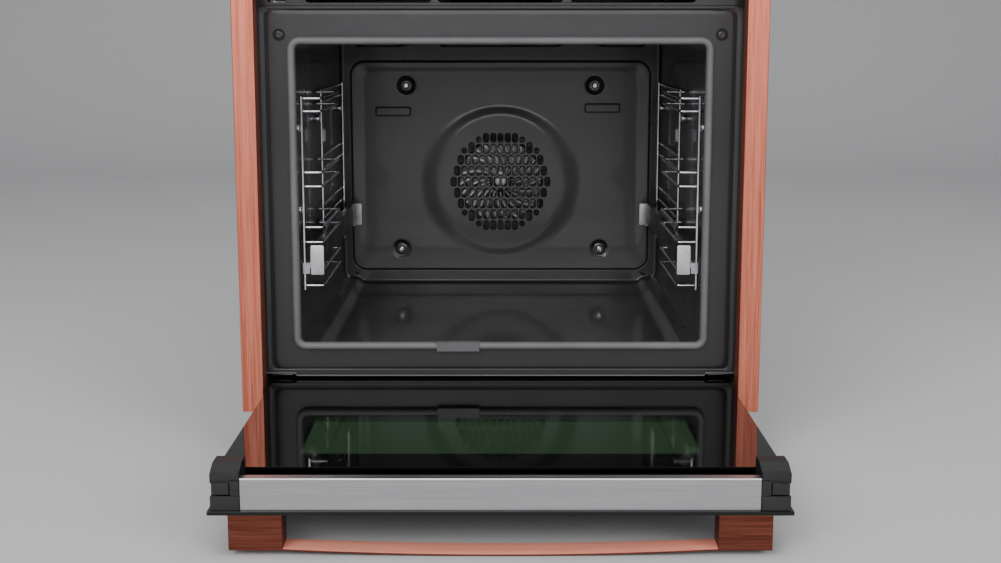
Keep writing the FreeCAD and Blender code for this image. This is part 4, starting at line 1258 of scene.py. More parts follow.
@dataclass
class RearBaffle:
    """The pressed panel over the fan: dished, with a drawn ring, air holes, slots and four screw cups.

    Attributes:
        ring_foot: Outer radius of the drawn ring's slope.
        ring_top: Its inner radius.
        grid: Radius of the flat disc with the air holes.
        ring_rise: How far the disc stands forward.
        dish: How far the panel is dished behind its rim.
        cup: Depth of the screw cups.
        hole: Width and height of an air hole.
        pitch: Spacing of the air holes across and upwards.
        counts: Air holes in each row from the lowest.
        screws: The screw cups from the fan's axis.
        slots: The two side slots from the fan's axis.
    """

    ring_foot: float = 116.0 * MM
    ring_top: float = 101.0 * MM
    grid: float = 88.0 * MM
    ring_rise: float = 1.5 * MM
    dish: float = 2.8 * MM
    cup: float = 2.0 * MM
    hole: tuple[float, float] = (9.5 * MM, 15.2 * MM)
    pitch: tuple[float, float] = (10.95 * MM, 16.7 * MM)
    counts: tuple[int, ...] = (7, 11, 12, 13, 14, 13, 12, 11, 7)
    screws: tuple[tuple[float, float], ...] = (
        (142.3 * MM, 145.7 * MM),
        (-142.3 * MM, 145.7 * MM),
        (151.5 * MM, -103.7 * MM),
        (-151.5 * MM, -103.7 * MM),
    )
    slots: tuple[tuple[float, float], ...] = ((-162.0 * MM, 107.0 * MM), (153.5 * MM, 112.0 * MM))

    def build(self) -> None:
        """Makes the panel, its disc, the screws and the slots' rims."""
        low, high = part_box("fan_impeller")
        self.axis = (low.z + high.z) / 2
        self.low, self.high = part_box("baffle_panel")
        self.face = self.high.y - 1.0 * MM
        self.panel()
        self.disc()
        self.fixings()
        self.rims()

    def depth(self, x: float, z: float) -> float:
        """The panel's depth at a point.

        Args:
            x: Across.
            z: Up.

        Returns:
            Its Y.
        """
        edge = min(self.high.x - abs(x), z - self.low.z, self.high.z - z)
        corner = 26 * MM
        dx, dz = corner - (self.high.x - abs(x)), corner - min(z - self.low.z, self.high.z - z)
        if dx > 0 and dz > 0:
            edge = min(edge, corner - math.hypot(dx, dz))
        above = z - self.low.z
        foot = smooth(above, 90 * MM, 30 * MM)
        fall = smooth(edge, 3 * MM, 20 * MM)
        fall = fall * (1 - foot) + fall * smooth(above, 0.0, 110 * MM) * foot
        crease = smooth(abs(edge - 5 * MM), 1.6 * MM, 0.0) * (1 - foot)
        y = self.face + self.dish * fall + 0.3 * MM * crease
        radius = math.hypot(x, z - self.axis)
        sideways = (x / max(radius, MM)) ** 2
        rise = smooth(radius, self.ring_foot + 9 * MM * sideways, self.ring_top - 12 * MM * sideways)
        y += (self.face - self.ring_rise - y) * rise
        for sx, sz in self.screws:
            away = math.hypot(x - sx, z - self.axis - sz)
            y += self.cup * smooth(away, 14.5 * MM, 11.5 * MM)
        return y

    def pressed(self, outline: Outline) -> Loop:
        """An outline laid on the panel's surface."""
        return [Vector((x, self.depth(x, z), z)) for x, z in outline]

    def around(self, radius: float, turns: Iterable[float]) -> Outline:
        """Points at a distance from the fan's axis."""
        return [(radius * math.cos(t), self.axis + radius * math.sin(t)) for t in turns]

    def panel(self) -> None:
        """Makes the panel from the disc's edge out to its rolled rim."""
        trim = 2.0 * MM
        edges = (self.low.x, self.high.x, self.low.z, self.high.z)
        outer = rounded(*shrink(edges, trim), 20 * MM - trim, 10, 110)
        directions = [math.atan2(z - self.axis, x) for x, z in outer]
        rows = []
        for k in range(12):
            radius = self.grid + (self.ring_foot + 2 * MM - self.grid) * k / 12
            rows.append(self.pressed(self.around(radius, directions)))
        inner = self.around(self.ring_foot + 2 * MM, directions)
        for k in range(57):
            t = k / 56
            pairs = zip(inner, outer)
            ring = [(ax + (bx - ax) * t, az + (bz - az) * t) for (ax, az), (bx, bz) in pairs]
            rows.append(self.pressed(ring))
        for back in (0.5, 1.4, 6.0):
            rows.append(upright(outer, self.face + back * MM))
        rows[-1] = [Vector((x * 0.985, y, self.axis + (z - self.axis) * 0.985)) for x, y, z in rows[-1]]
        shell = Shell.blank().loops(rows[::-1])
        seat = rounded(*shrink(edges, -2.6 * MM), 22 * MM, 10, 110)
        drawn = [(x * 0.97, self.axis + (z - self.axis) * 0.97) for x, z in outer]
        gap = [upright(seat, self.face + 2.2 * MM), upright(drawn, self.face + 2.6 * MM)]
        shell.loops(gap, kind=1)
        piece("fan_baffle", shell, (PANEL_ENAMEL, SHADOW), "oven", ("baffle_panel",), 70)

    def disc(self) -> None:
        """Makes the flat disc with its rows of air holes."""
        y = self.face - self.ring_rise
        rim = self.around(self.grid, circle(240))
        holes = []
        last = len(self.counts) - 1
        for row, count in enumerate(self.counts):
            up = row - last / 2
            for column in range(count):
                x = (column - (count - 1) / 2) * self.pitch[0]
                z = self.axis + up * self.pitch[1]
                width, height = self.hole
                ends = min(column, count - 1 - column)
                if row in (0, 1, last - 1, last) and ends == 0:
                    z -= math.copysign(2.6 * MM, up)
                    width, height = width - 0.6 * MM, 9.4 * MM
                elif row in (1, last - 1) and ends == 1:
                    z += math.copysign(1.6 * MM, up)
                    height += 2.6 * MM
                edges = (x - width / 2, x + width / 2, z - height / 2, z + height / 2)
                holes.append(upright(rounded(*edges, width / 2 - 0.1 * MM, 5, 2), y))
        shell = Shell.blank().pierced(upright(rim, y), holes, Vector((0, 1.2 * MM, 0)), 0, 1, 0.8)
        piece("air_grid", shell, (PANEL_ENAMEL, SHADOW), "oven")

    def fixings(self) -> None:
        """Makes the screws with their dished washers."""
        washer = [(9.0, -0.2), (9.0, 0.6), (8.5, 1.1), (5.5, 1.5), (4.6, 1.2)]
        head = [(4.2, 1.0), (4.1, 2.4), (3.6, 3.1), (2.6, 3.4), (2.0, 3.3), (1.8, 2.2), (0.05, 2.1)]
        cup = [(14.6, -0.6), (14.3, 0.5), (13.6, 0.7), (12.8, 0.2), (11.6, -0.5), (9.2, -0.7)]
        shell = Shell.blank()
        for sx, sz in self.screws:
            low = self.depth(sx, self.axis + sz + 16 * MM)
            spot = Vector((sx, low + 0.5 * MM, self.axis + sz))
            out = Vector((0, -1, 0))
            shell.turned(in_mm(cup), spot, out, 44, 2, False)
            shell.turned(in_mm(washer), spot, out, 40, 0, False)
            shell.turned(in_mm(head), spot, out, 24, 1)
        piece("baffle_fixings", shell, (DARK_PLATED, CHROME, SHADOW), "oven", ("baffle_screws",))

    def rims(self) -> None:
        """Makes the two slots with their rolled rims."""
        shell = Shell.blank()
        for sx, sz in self.slots:
            x, z = sx, self.axis + sz
            y = self.face + self.dish
            edge = (x - 26.5 * MM, x + 26.5 * MM, z - 7 * MM, z + 7 * MM)
            rows = []
            for grow, out in ((1.6, -0.2), (1.1, 0.5), (0.4, 0.6), (-0.1, 0.3)):
                d = grow * MM
                rows.append(upright(rounded(*shrink(edge, -d), 3 * MM + d, 6, 8), y - out * MM))
            shell.loops(rows)
            edge = [x - 26.4 * MM, x + 26.4 * MM, z - 6.9 * MM, z + 6.9 * MM]
            dark = upright(rounded(*edge, 3 * MM, 6, 8), y - 0.28 * MM)
            inset = [edge[0] + 1.6 * MM, edge[1] - 1.6 * MM, edge[2] + 1.2 * MM, edge[3] - 2.6 * MM]
            tab = upright(rounded(*inset, 1.8 * MM, 6, 8), y - 0.28 * MM)
            lip = upright(rounded(*inset, 1.8 * MM, 6, 8), y - 0.5 * MM)
            shell.loops([dark, tab], kind=1).loops([tab, lip], cap=True)
        piece("slot_rims", shell, (PANEL_ENAMEL, SHADOW), "oven")


@dataclass
class SideRacks:
    """The wire racks, their bushes and the telescopic rails on both sides.

    Attributes:
        sheet: Thickness of the inner rail's sheet.
        slack: How far its folds stay inside its clearance.
        tail: How far across the rear tray stop reaches.
    """

    sheet: float = 1.5 * MM
    slack: float = 2.0 * MM
    tail: float = 9.6 * MM

    def build(self) -> None:
        """Dresses the racks and rails."""
        dress(CHROME, "rack_left", "rack_right")
        dress(PLATED, "rack_bushes", edge=0.3 * MM)
        for side, sign in (("left", -1), ("right", 1)):
            dress(PLATED, f"rail_fixed_{side}", edge=0.25 * MM)
            dress(DARK_PLATED, f"rail_middle_{side}", edge=0.25 * MM)
            self.channel(side, sign)
            self.plates(side, sign)

    def channel(self, side: str, sign: int) -> None:
        """Makes the inner rail: a folded channel round the middle one.

        Args:
            side: Which side the rail is on.
            sign: 1 on the right and -1 on the left.
        """
        low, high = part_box(f"rail_inner_{side}")
        middle_low, middle_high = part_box(f"rail_middle_{side}")
        outer = max(abs(low.x), abs(high.x)) - 0.2 * MM
        web = min(abs(middle_low.x), abs(middle_high.x)) - 0.2 * MM
        bottom, top = low.z + self.slack, high.z - self.slack
        shelf, roof = middle_low.z - 0.4 * MM, middle_high.z + 0.4 * MM
        section = [
            (web - self.sheet, bottom), (outer, bottom), (outer, shelf), (web, shelf),
            (web, roof), (outer, roof), (outer, top), (web - self.sheet, top),
        ]
        ends = (low.y + 0.4 * MM, high.y - 0.3 * MM)
        shell = Shell.blank().loops([[Vector((sign * x, y, z)) for x, z in section] for y in ends])
        near = ((0, 3, 2, 1), (0, 7, 4, 3), (7, 6, 5, 4))
        far = ((8, 9, 10, 11), (8, 11, 12, 15), (12, 13, 14, 15))
        for corners in near + far:
            shell.add_face(corners)
        body = f"rail_inner_{side}"
        piece(f"rail_channel_{side}", shell, (DARK_PLATED,), body, (body,), 40)

    def plates(self, side: str, sign: int) -> None:
        """Makes the two bright tray stops, the front one moving with the inner rail.

        Args:
            side: Which side the rail is on.
            sign: 1 on the right and -1 on the left.
        """
        low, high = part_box(f"rail_inner_{side}")
        inner, outer = sorted((abs(low.x), abs(high.x)))
        x0, x1 = sorted((sign * inner, sign * outer))
        edges = (x0, x1, low.z, high.z)
        self.plate(f"rail_front_plate_{side}", edges, low.y - 0.4 * MM, 1.3 * MM, f"rail_inner_{side}")
        x0, x1 = sorted((sign * (inner + 0.4 * MM), sign * (inner + self.tail)))
        edges = (x0, x1, low.z - 4 * MM, high.z - 7 * MM)
        self.plate(f"rail_tail_plate_{side}", edges, high.y - 0.2 * MM, 3.4 * MM, "oven")

    def plate(self, name: str, edges: Edges, near: float, thick: float, body: str) -> None:
        """Makes one bright stop plate.

        Args:
            name: The piece's name.
            edges: Its left, right, bottom and top.
            near: Its front face's depth.
            thick: Its thickness.
            body: The body that it moves with.
        """
        outline = rounded(*edges, 1.6 * MM, 5, 3)
        face = rounded(*shrink(edges, 0.4 * MM), 1.3 * MM, 5, 3)
        depths = ((face, thick), (outline, thick - 0.3 * MM), (outline, 0.1 * MM), (face, 0.0))
        shell = Shell.blank().loops([upright(ring, near + back) for ring, back in depths], cap=True)
        shell.add_face(reversed(range(len(face))))
        piece(name, shell, (SATIN,), body, crease=50)


@dataclass
class FoldingDoor:
    """The door: three glasses in a frame, its aluminium strip, end caps, handle and hinge carriages.

    Attributes:
        border_side: Width of the printed border at the inner glass's sides.
        border_front: Its width at the front.
        border_back: Its width at the back.
        fade: Depth of the half-printed band behind the window.
    """

    border_side: float = 73.0 * MM
    border_front: float = 35.0 * MM
    border_back: float = 300.0 * MM
    fade: float = 16.0 * MM

    def build(self) -> None:
        """Makes the inner glass and dresses the rest."""
        self.inner_glass()
        dress(BLACK_GLASS, "door_outer_glass", edge=0.6 * MM)
        dress(BLACK_GLASS, "door_middle_glass", edge=0.4 * MM)
        dress(DARK_ENAMEL_AND_SHADE, "door_frame", edge=0.6 * MM)
        dress(ALUMINIUM, "door_top_strip", edge=0.4 * MM)
        dress(DARK_PLASTIC, "door_end_caps", edge=0.8 * MM)
        self.trimmings()
        # The handle blocks take the darker copper, painted shade.
        dress(COPPER_PAINTED_SHADE, "handle_blocks", edge=0.7 * MM)
        self.bar()
        dress(PLATED, "hinge_carriages", edge=0.3 * MM)
        for side in ("left", "right"):
            dress(DARK_PLASTIC, f"roller_{side}", edge=0.3 * MM)
            dress(CASING, f"door_rail_{side}", edge=0.3 * MM)

    def trimmings(self) -> None:
        """Makes the end caps' stepped blocks and the strip's upper edge, a near-white bead that paints its
        highlight.
        """
        low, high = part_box("door_end_caps")
        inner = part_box("door_top_strip")[1].x
        face = low.y + 0.4 * MM
        shell = Shell.blank()
        for sign in (-1, 1):
            for x0, x1, z0, z1, out in (
                (inner + 0.6 * MM, high.x - 0.5 * MM, 0.3, 13.6, 1.3),
                (inner + 0.6 * MM, inner + 9 * MM, 14.6, 28.5, 0.7),
                (inner + 10 * MM, high.x - 2.5 * MM, 15.4, 26.6, 0.5),
                (inner + 0.6 * MM, high.x - 2 * MM, 29.4, 38.0, 0.9),
            ):
                edges = sorted((sign * x0, sign * x1))
                front = face - out * MM
                near = Vector((edges[0], front, low.z + z0 * MM))
                far = Vector((edges[1], face + MM, low.z + z1 * MM))
                shell.block(near, far, 0.5 * MM)
        piece("cap_blocks", shell, (CAP_PLASTIC,), "door")
        low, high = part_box("door_top_strip")
        count, radius = 12, 0.8 * MM
        y, z = low.y + 0.5 * MM, high.z - 0.9 * MM
        turns = circle(count)
        section = [(y + radius * math.cos(t), z + radius * math.sin(t)) for t in turns]
        ends = (low.x + 0.3 * MM, high.x - 0.3 * MM)
        bead = Shell.blank().loops([[Vector((x, a, b)) for a, b in section] for x in ends])
        bead.add_face(reversed(range(count)))
        bead.add_face(range(count, 2 * count))
        piece("strip_lit_edge", bead, (STRIP_PAINTED_HIGHLIGHT,), "door", crease=50)

    def bar(self) -> None:
        """Makes the bowed handle bar: its broad upper face in bright copper, painted light, and its narrow
        front face and ends in darker copper, painted shade.
        """
        low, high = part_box("handle_bar")
        x0, x1 = low.x, high.x
        steps = 60
        bow = 5.4 * MM
        top_end = high.z
        rows = []
        for k in range(steps + 1):
            t = 2 * k / steps - 1
            x = x0 + (x1 - x0) * k / steps
            drop = bow * (1 - t * t)
            under = low.z + bow - drop
            over = under + (2.7 + 1.3 * (1 - t * t)) * MM
            lip = under + 1.5 * MM
            e = 0.4 * MM
            near, far, c = low.y, high.y, 0.3 * e
            section = [
                (near, under + e), (near, lip - e), (near + c, lip - c), (near + e, lip),
                (far - e, over), (far - c, over - c), (far, over - e), (far, under + e),
                (far - e, under), (near + e, under), (near + c, under + c),
            ]
            rows.append([Vector((x, y, min(z, top_end))) for y, z in section])
        shell = Shell.blank().loops(rows, kind=1)
        count = len(rows[0])
        for face in range(3, len(shell.faces), count):
            shell.kinds[face] = 0
        shell.add_face(reversed(range(count)), 1)
        shell.add_face(range(steps * count, (steps + 1) * count), 1)
        piece("bowed_handle_bar", shell, (COPPER_PAINTED_LIGHT, COPPER_PAINTED_SHADE), "door", ("handle_bar",), 50)

    def inner_glass(self) -> None:
        """Makes the inner glass with its printed border and mirror window."""
        low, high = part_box("door_inner_glass")
        edges = (low.x, high.x, low.y, high.y)
        rows = []
        for inset, drop in ((0.0, 3.0), (0.0, 0.5), (0.5, 0.0), (2.0, 0.0)):
            ring = rounded(*shrink(edges, inset * MM), 3 * MM, 6, 20)
            rows.append(flat(ring, high.z - drop * MM))
        side, front, back = self.border_side, self.border_front, self.border_back
        window = (low.x + side, high.x - side, low.y + front, high.y - back)
        fade = (window[0], window[1], window[2], window[3] + self.fade)
        rows.append(flat(rounded(*fade, 3 * MM, 6, 20), high.z))
        shell = Shell.blank().loops(rows)
        inside = [flat(rounded(*window, 3 * MM, 6, 20), high.z)]
        shell.loops([rows[-1], inside[0]], kind=2)
        x, y = (low.x + high.x) / 2, (window[2] + window[3]) / 2
        for a in (0.25, 0.6):
            inside.append([Vector((p.x + (x - p.x) * a, p.y + (y - p.y) * a, p.z)) for p in rows[-1]])
        shell.loops(inside, kind=1, cap=True)
        finishes = (PRINTED_GLASS, WINDOW_GLASS, FADE_GLASS)
        piece("inner_glass", shell, finishes, "door", ("door_inner_glass",), 30)


@dataclass
class Casing:
    """The sheet-metal casing, its trims, vents and everything behind the control panel.

    Attributes:
        bead: Width of the pressed beads.
        press: How far they stand out.
        ribs: Pressed ribs on each side.
        rib: Half the width of a rib.
        screw: Radius and height of the sides' and the top's screws.
        louvres: Louvres in the top.
        slots: The rear vents' left ends.
        slot_rows: Their heights.
        inlet: Height of the cable's hole and its radius.
        rear_ribs: Heights of the rear's ribs.
    """

    bead: float = 8.0 * MM
    press: float = 1.3 * MM
    ribs: int = 5
    rib: float = 4.0 * MM
    screw: tuple[float, float] = (5.2 * MM, 2.6 * MM)
    louvres: int = 12
    slots: tuple[float, ...] = (-0.11, -0.03, 0.05)
    slot_rows: tuple[float, ...] = (0.5, 0.512, 0.524)
    inlet: tuple[float, float] = (0.49, 0.0125)
    rear_ribs: tuple[float, ...] = (0.075, 0.14, 0.205, 0.27, 0.335, 0.4)

    def build(self) -> None:
        """Dresses the casing and makes its pressings, screws and rear sheet."""
        dress(CASING, "base_plate", "side_panel_left", "side_panel_right", "top_cover", edge=0.4 * MM)
        dress(CASING, "bay_ceiling", edge=0.3 * MM)
        # Painted shade: the cooling duct is dark so that the vent slots look dark inside.
        dress(DARK_ENAMEL_AND_SHADE, "cooling_duct", edge=0.3 * MM)
        dress(WOOL, "insulation_blanket")
        dress(BODY_ENAMEL, "vent_panel", edge=0.5 * MM)
        dress(COPPER_UP, "side_trim_left", "side_trim_right", edge=1.5 * MM)
        dress(PLATED, "fan_motor", "blower_motor", "latch_motor", edge=0.3 * MM)
        dress(DARK_PLATED, "latch_pawl", edge=0.3 * MM)
        dress(DARK_PLASTIC, "blower_wheel", "control_switches", edge=0.3 * MM)
        dress(DARK_PLASTIC, "display_module", "control_frame", edge=0.3 * MM)
        dress(BOARD, "control_board")
        dress(CERAMIC, "terminal_block", edge=0.5 * MM)
        for side, sign in (("left", -1), ("right", 1)):
            self.side(side, sign)
        self.top()
        self.rear()
        self.hinge_stops()

    def side(self, side: str, sign: int) -> None:
        """Makes one side's pressed bead, ribs and screws.

        Args:
            side: Which side.
            sign: 1 on the right and -1 on the left.
        """
        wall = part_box("base_plate")[1].x
        low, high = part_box(f"side_panel_{side}")

        def face(y: float, z: float, out: float) -> Vector:
            """A point on the side's outer face."""
            return Vector((sign * (wall + out), y, z))

        shell = Shell.blank()
        edges = (0.035, high.y - 0.035, low.z + 0.034, high.z - 0.044)
        shell.raised(edges, 24 * MM, self.press, face, self.bead)
        for k in range(self.ribs):
            z = edges[2] + (edges[3] - edges[2]) * (k + 1) / (self.ribs + 1)
            rib = (edges[0] + 0.04, edges[1] - 0.04, z - self.rib, z + self.rib)
            shell.raised(rib, 3.9 * MM, self.press * 0.9, face)
        out = Vector((sign, 0, 0))
        rows = [(high.y - 0.012, low.z + (high.z - low.z) * k / 4 * 0.94 + 0.018) for k in range(5)]
        rows += [(y, z) for z in (high.z - 0.014, low.z + 0.016) for y in (0.06, 0.2, 0.34)]
        for y, z in rows:
            shell.screw(face(y, z, -0.05 * MM), out, *self.screw, 1)
        piece(f"side_pressings_{side}", shell, (CASING, PLATED), "oven")

    def top(self) -> None:
        """Makes the top cover's pressings, louvres and screws."""
        low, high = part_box("top_cover")

        def face(x: float, y: float, out: float) -> Vector:
            """A point on the top's outer face."""
            return Vector((x, y, high.z + out))

        shell = Shell.blank()
        edges = (low.x + 0.03, high.x - 0.03, 0.04, high.y - 0.03)
        shell.raised(edges, 26 * MM, self.press, face, self.bead)
        for k in range(4):
            x = edges[0] + (edges[1] - edges[0]) * (k + 1) / 5
            rib = (x - self.rib, x + self.rib, edges[2] + 0.04, edges[3] - 0.15)
            shell.raised(rib, 3.9 * MM, self.press * 0.9, face)
        for k in range(self.louvres):
            x = edges[0] + 0.05 + (edges[1] - edges[0] - 0.1) * k / (self.louvres - 1)
            hood = (x - 5 * MM, x + 5 * MM, edges[3] - 0.11, edges[3] - 0.04)
            shell.raised(hood, 4.6 * MM, 3.4 * MM, face)
            mouth = (x - 3 * MM, x + 3 * MM, edges[3] - 0.045, edges[3] - 0.0385)
            shell.raised(mouth, 1.4 * MM, 2.4 * MM, face, kind=2)
        out = Vector((0, 0, 1))
        sides, depths = (low.x + 0.012, high.x - 0.012), (0.03, 0.19, 0.35, high.y - 0.014)
        spots = [(x, y) for x in sides for y in depths]
        for x, y in spots + [(x, high.y - 0.012) for x in (-0.12, 0.0, 0.12)]:
            shell.screw(face(x, y, -0.05 * MM), out, *self.screw, 1)
        piece("top_pressings", shell, (CASING, PLATED, SHADOW), "oven")

    def rear(self) -> None:
        """Makes the rear cover's sheet with its vents, pressings, cable bush and screws."""
        low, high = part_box("rear_cover")
        y = high.y - 0.9 * MM

        def face(x: float, z: float, out: float) -> Vector:
            """A point on the rear's outer face."""
            return Vector((x, y + out, z))

        holes = [
            [face(a, b, 0.0) for a, b in rounded(x, x + 0.06, z, z + 0.005, 2.4 * MM, 5, 3)]
            for x in self.slots
            for z in self.slot_rows
        ]
        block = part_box("terminal_block")
        height, radius = self.inlet
        spot = Vector(((block[0].x + block[1].x) / 2, y, height))
        cable = [(spot.x + radius * math.cos(t), spot.z + radius * math.sin(t)) for t in circle(36)]
        holes.append([face(a, b, 0.0) for a, b in cable])
        rim = [face(a, b, 0.0) for a, b in rounded(low.x, high.x, low.z, high.z, 2 * MM, 4, 12)]
        x0, x1 = low.x + 0.075, high.x - 0.075
        ribs = [(x0, x1, z - 6 * MM, z + 6 * MM) for z in self.rear_ribs]
        holes += [[face(a, b, 0.0) for a, b in rounded(*edges, 5.8 * MM, 6, 6)] for edges in ribs]
        shell = Shell.blank().pierced(rim, holes, Vector((0, -1.6 * MM, 0)))
        outer = (low.x + 0.024, high.x - 0.024, low.z + 0.024, high.z - 0.03)
        shell.raised(outer, 26 * MM, 0.85 * MM, face, self.bead)
        for edges in ribs:
            shell.raised(edges, 5.8 * MM, -3.2 * MM, face)
        for x in (low.x + 0.011, high.x - 0.011):
            for k in range(5):
                seat = Vector((x, y - 0.05 * MM, 0.02 + k * 0.137))
                shell.screw(seat, Vector((0, 1, 0)), 5 * MM, 0.9 * MM, 1)
        bush = [(11.0, -6.0), (11.0, 0.3), (11.6, 0.8), (14.2, 0.85), (14.8, 0.5), (15.0, -0.1)]
        shell.turned(in_mm(bush), spot, Vector((0, 1, 0)), 40, 2, False)
        piece("rear_sheet", shell, (CASING, PLATED, DARK_PLASTIC), "oven", ("rear_cover",))

    def hinge_stops(self) -> None:
        """Makes the small steel stops seen in the frame's hinge notches."""
        low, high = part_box("front_frame")
        shell = Shell.blank()
        for sign in (-1, 1):
            x = sign * (high.x - 19 * MM)
            lower = Vector((x - 13 * MM, low.y + 1.8 * MM, low.z + 0.4 * MM))
            shell.block(lower, lower + Vector((26 * MM, 14 * MM, 1.6 * MM)), 0.5 * MM)
            spot = Vector((x + sign * 4 * MM, low.y + 6.5 * MM, low.z + 2.3 * MM))
            shell.screw(spot, Vector((0, 0, 1)), 2.6 * MM, 1.0 * MM)
        piece("hinge_stops", shell, (DARK_PLATED,), "oven")


@dataclass
class ControlPanel:
    """The control glass with its knob, power button, dial marks and clock.

    Attributes:
        knurls: Grooves round the knob.
        marks: Marks round the dial.
        digit: Width and height of a clock digit.
    """

    knurls: int = 60
    marks: int = 12
    digit: tuple[float, float] = (8.0 * MM, 15.0 * MM)

    def build(self) -> None:
        """Makes the knob, button, marks and clock."""
        dress(BLACK_GLASS, "control_glass", edge=0.6 * MM)
        self.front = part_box("control_glass")[0].y
        self.knob()
        self.button()
        self.print_marks()

    def knob(self) -> None:
        """Makes the selector knob: a finely grooved ring, a dished face and a pointer."""
        low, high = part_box("selector_knob")
        centre = Vector(((low.x + high.x) / 2, self.front, (low.z + high.z) / 2))
        radius = (high.x - low.x) / 2
        reach = self.front - low.y
        out = Vector((0, -1, 0))
        shell = Shell.blank()
        sides = self.knurls * 4
        rows = []
        foot = [(1.0, 0.3 * MM, 0.0), (1.0, 1.2 * MM, 0.3)]
        rim = [(1.0, 2.4, 0.3), (1.0, 1.6, 0.0), (0.985, 0.5, 0.0), (0.95, 0.05, 0.0)]
        dish = [(0.9, 0.02, 0.0), (0.85, 0.9, 0.0), (0.4, 1.4, 0.0), (0.02, 1.5, 0.0)]
        steps = foot + [(share, reach - back * MM, cut) for share, back, cut in rim + dish]
        for share, height, cut in steps:
            ring = []
            for t in circle(sides):
                r = radius * share - cut * MM * (0.5 + 0.5 * math.cos(self.knurls * t))
                ring.append(centre + Vector((r * math.cos(t), -height, r * math.sin(t))))
            rows.append(ring)
        shell.loops(rows, cap=True)
        shaft = [(3.0 * MM, -(high.y - self.front)), (3.0 * MM, 0.5 * MM)]
        shell.turned(shaft, centre, out, 20)
        x, z = centre.x, centre.z + radius * 0.55
        tip = Vector((x - 0.9 * MM, low.y + 0.3 * MM, z - 4.5 * MM))
        shell.block(tip, tip + Vector((1.8 * MM, 1.4 * MM, 9 * MM)), 0.3 * MM, 1)
        piece("knurled_knob", shell, (COPPER_KNOB, MARK_PRINT), "selector_knob", ("selector_knob",), 30)

    def button(self) -> None:
        """Makes the power button with its finger dish and collar."""
        low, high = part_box("power_button")
        centre = Vector(((low.x + high.x) / 2, self.front, (low.z + high.z) / 2))
        wide = (high.x - low.x) / 2 / MM
        reach = (self.front - low.y) / MM
        back = -(high.y - self.front) / MM
        shell = Shell.blank()
        body = [(wide * 0.5, back), (wide * 0.5, -4.5), (7.0, -4.3), (7.0, reach - 0.7)]
        body += [(6.6, reach - 0.1), (6.0, reach), (4.5, reach - 0.35)]
        body += [(2.2, reach - 0.6), (0.05, reach - 0.65)]
        shell.turned(in_mm(body), centre, Vector((0, -1, 0)), 48)
        piece("power_push", shell, (COPPER_KNOB,), "power_button", ("power_button",), 40)
        collar = [(7.2, 0.0), (7.4, 0.7), (8.4, 0.9), (9.2, 0.5), (9.4, -0.05)]
        ring = Shell.blank().turned(in_mm(collar), centre, Vector((0, -1, 0)), 48, 0, False)
        piece("power_collar", ring, (PLATED,), "oven")

    def print_marks(self) -> None:
        """Makes the printed dial marks and the clock's lit digits."""
        low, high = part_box("selector_knob")
        cx, cz = (low.x + high.x) / 2, (low.z + high.z) / 2
        y = self.front - 0.05 * MM
        dial = Shell.blank()
        for k, t in enumerate(circle(self.marks)):
            along = Vector((math.sin(t), 0, math.cos(t)))
            across = Vector((math.cos(t), 0, -math.sin(t)))
            inner, outer = 26.5 * MM, (31 if k % 3 == 0 else 29) * MM
            corners = [(inner, -0.45), (inner, 0.45), (outer, 0.45), (outer, -0.45)]
            start = len(dial.points)
            dial.points.extend(Vector((cx, y, cz)) + along * a + across * (b * MM) for a, b in corners)
            dial.add_face(range(start, start + 4))
        piece("dial_marks", dial, (MARK_PRINT,), "oven")
        low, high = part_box("display_module")
        clock = Shell.blank()
        middle, height = (low.x + high.x) / 2, (low.z + high.z) / 2
        for place, digit in zip((-1.75, -0.65, 0.65, 1.75), ("bc", "abged", "abgcd", "abcdef")):
            self.segments(clock, middle + place * self.digit[0] * 1.32, height, y, digit)
        for up in (-0.2, 0.2):
            spot = Vector((middle, y + 0.04 * MM, height + up * self.digit[1]))
            clock.turned([(0.7 * MM, 0.0), (0.6 * MM, 0.04 * MM)], spot, Vector((0, -1, 0)), 12)
        piece("clock_digits", clock, (LIT_PRINT,), "oven")

    def segments(self, shell: Shell, x: float, z: float, y: float, lit: str) -> None:
        """Draws one digit from its lit segments.

        Args:
            shell: The mesh that the digit joins.
            x: The digit's middle.
            z: Its mid height.
            y: Its depth.
            lit: The letters of the lit segments, a to g.
        """
        w, h = self.digit[0] / 2, self.digit[1] / 2
        half = 0.6 * MM
        bars = {
            "a": (0, h, 1), "b": (w, h / 2, 0), "c": (w, -h / 2, 0), "d": (0, -h, 1),
            "e": (-w, -h / 2, 0), "f": (-w, h / 2, 0), "g": (0, 0, 1),
        }
        for letter in lit:
            dx, dz, level = bars[letter]
            long = (w if level else h / 2) - 0.9 * MM
            reach = [(-long - half, 0), (-long, half), (long, half)]
            reach += [(long + half, 0), (long, -half), (-long, -half)]
            start = len(shell.points)
            for a, b in reach:
                px, pz = (a, b) if level else (b, -a)
                shell.points.append(Vector((x + dx + px, y, z + dz + pz)))
            shell.add_face(reversed(range(start, start + 6)))


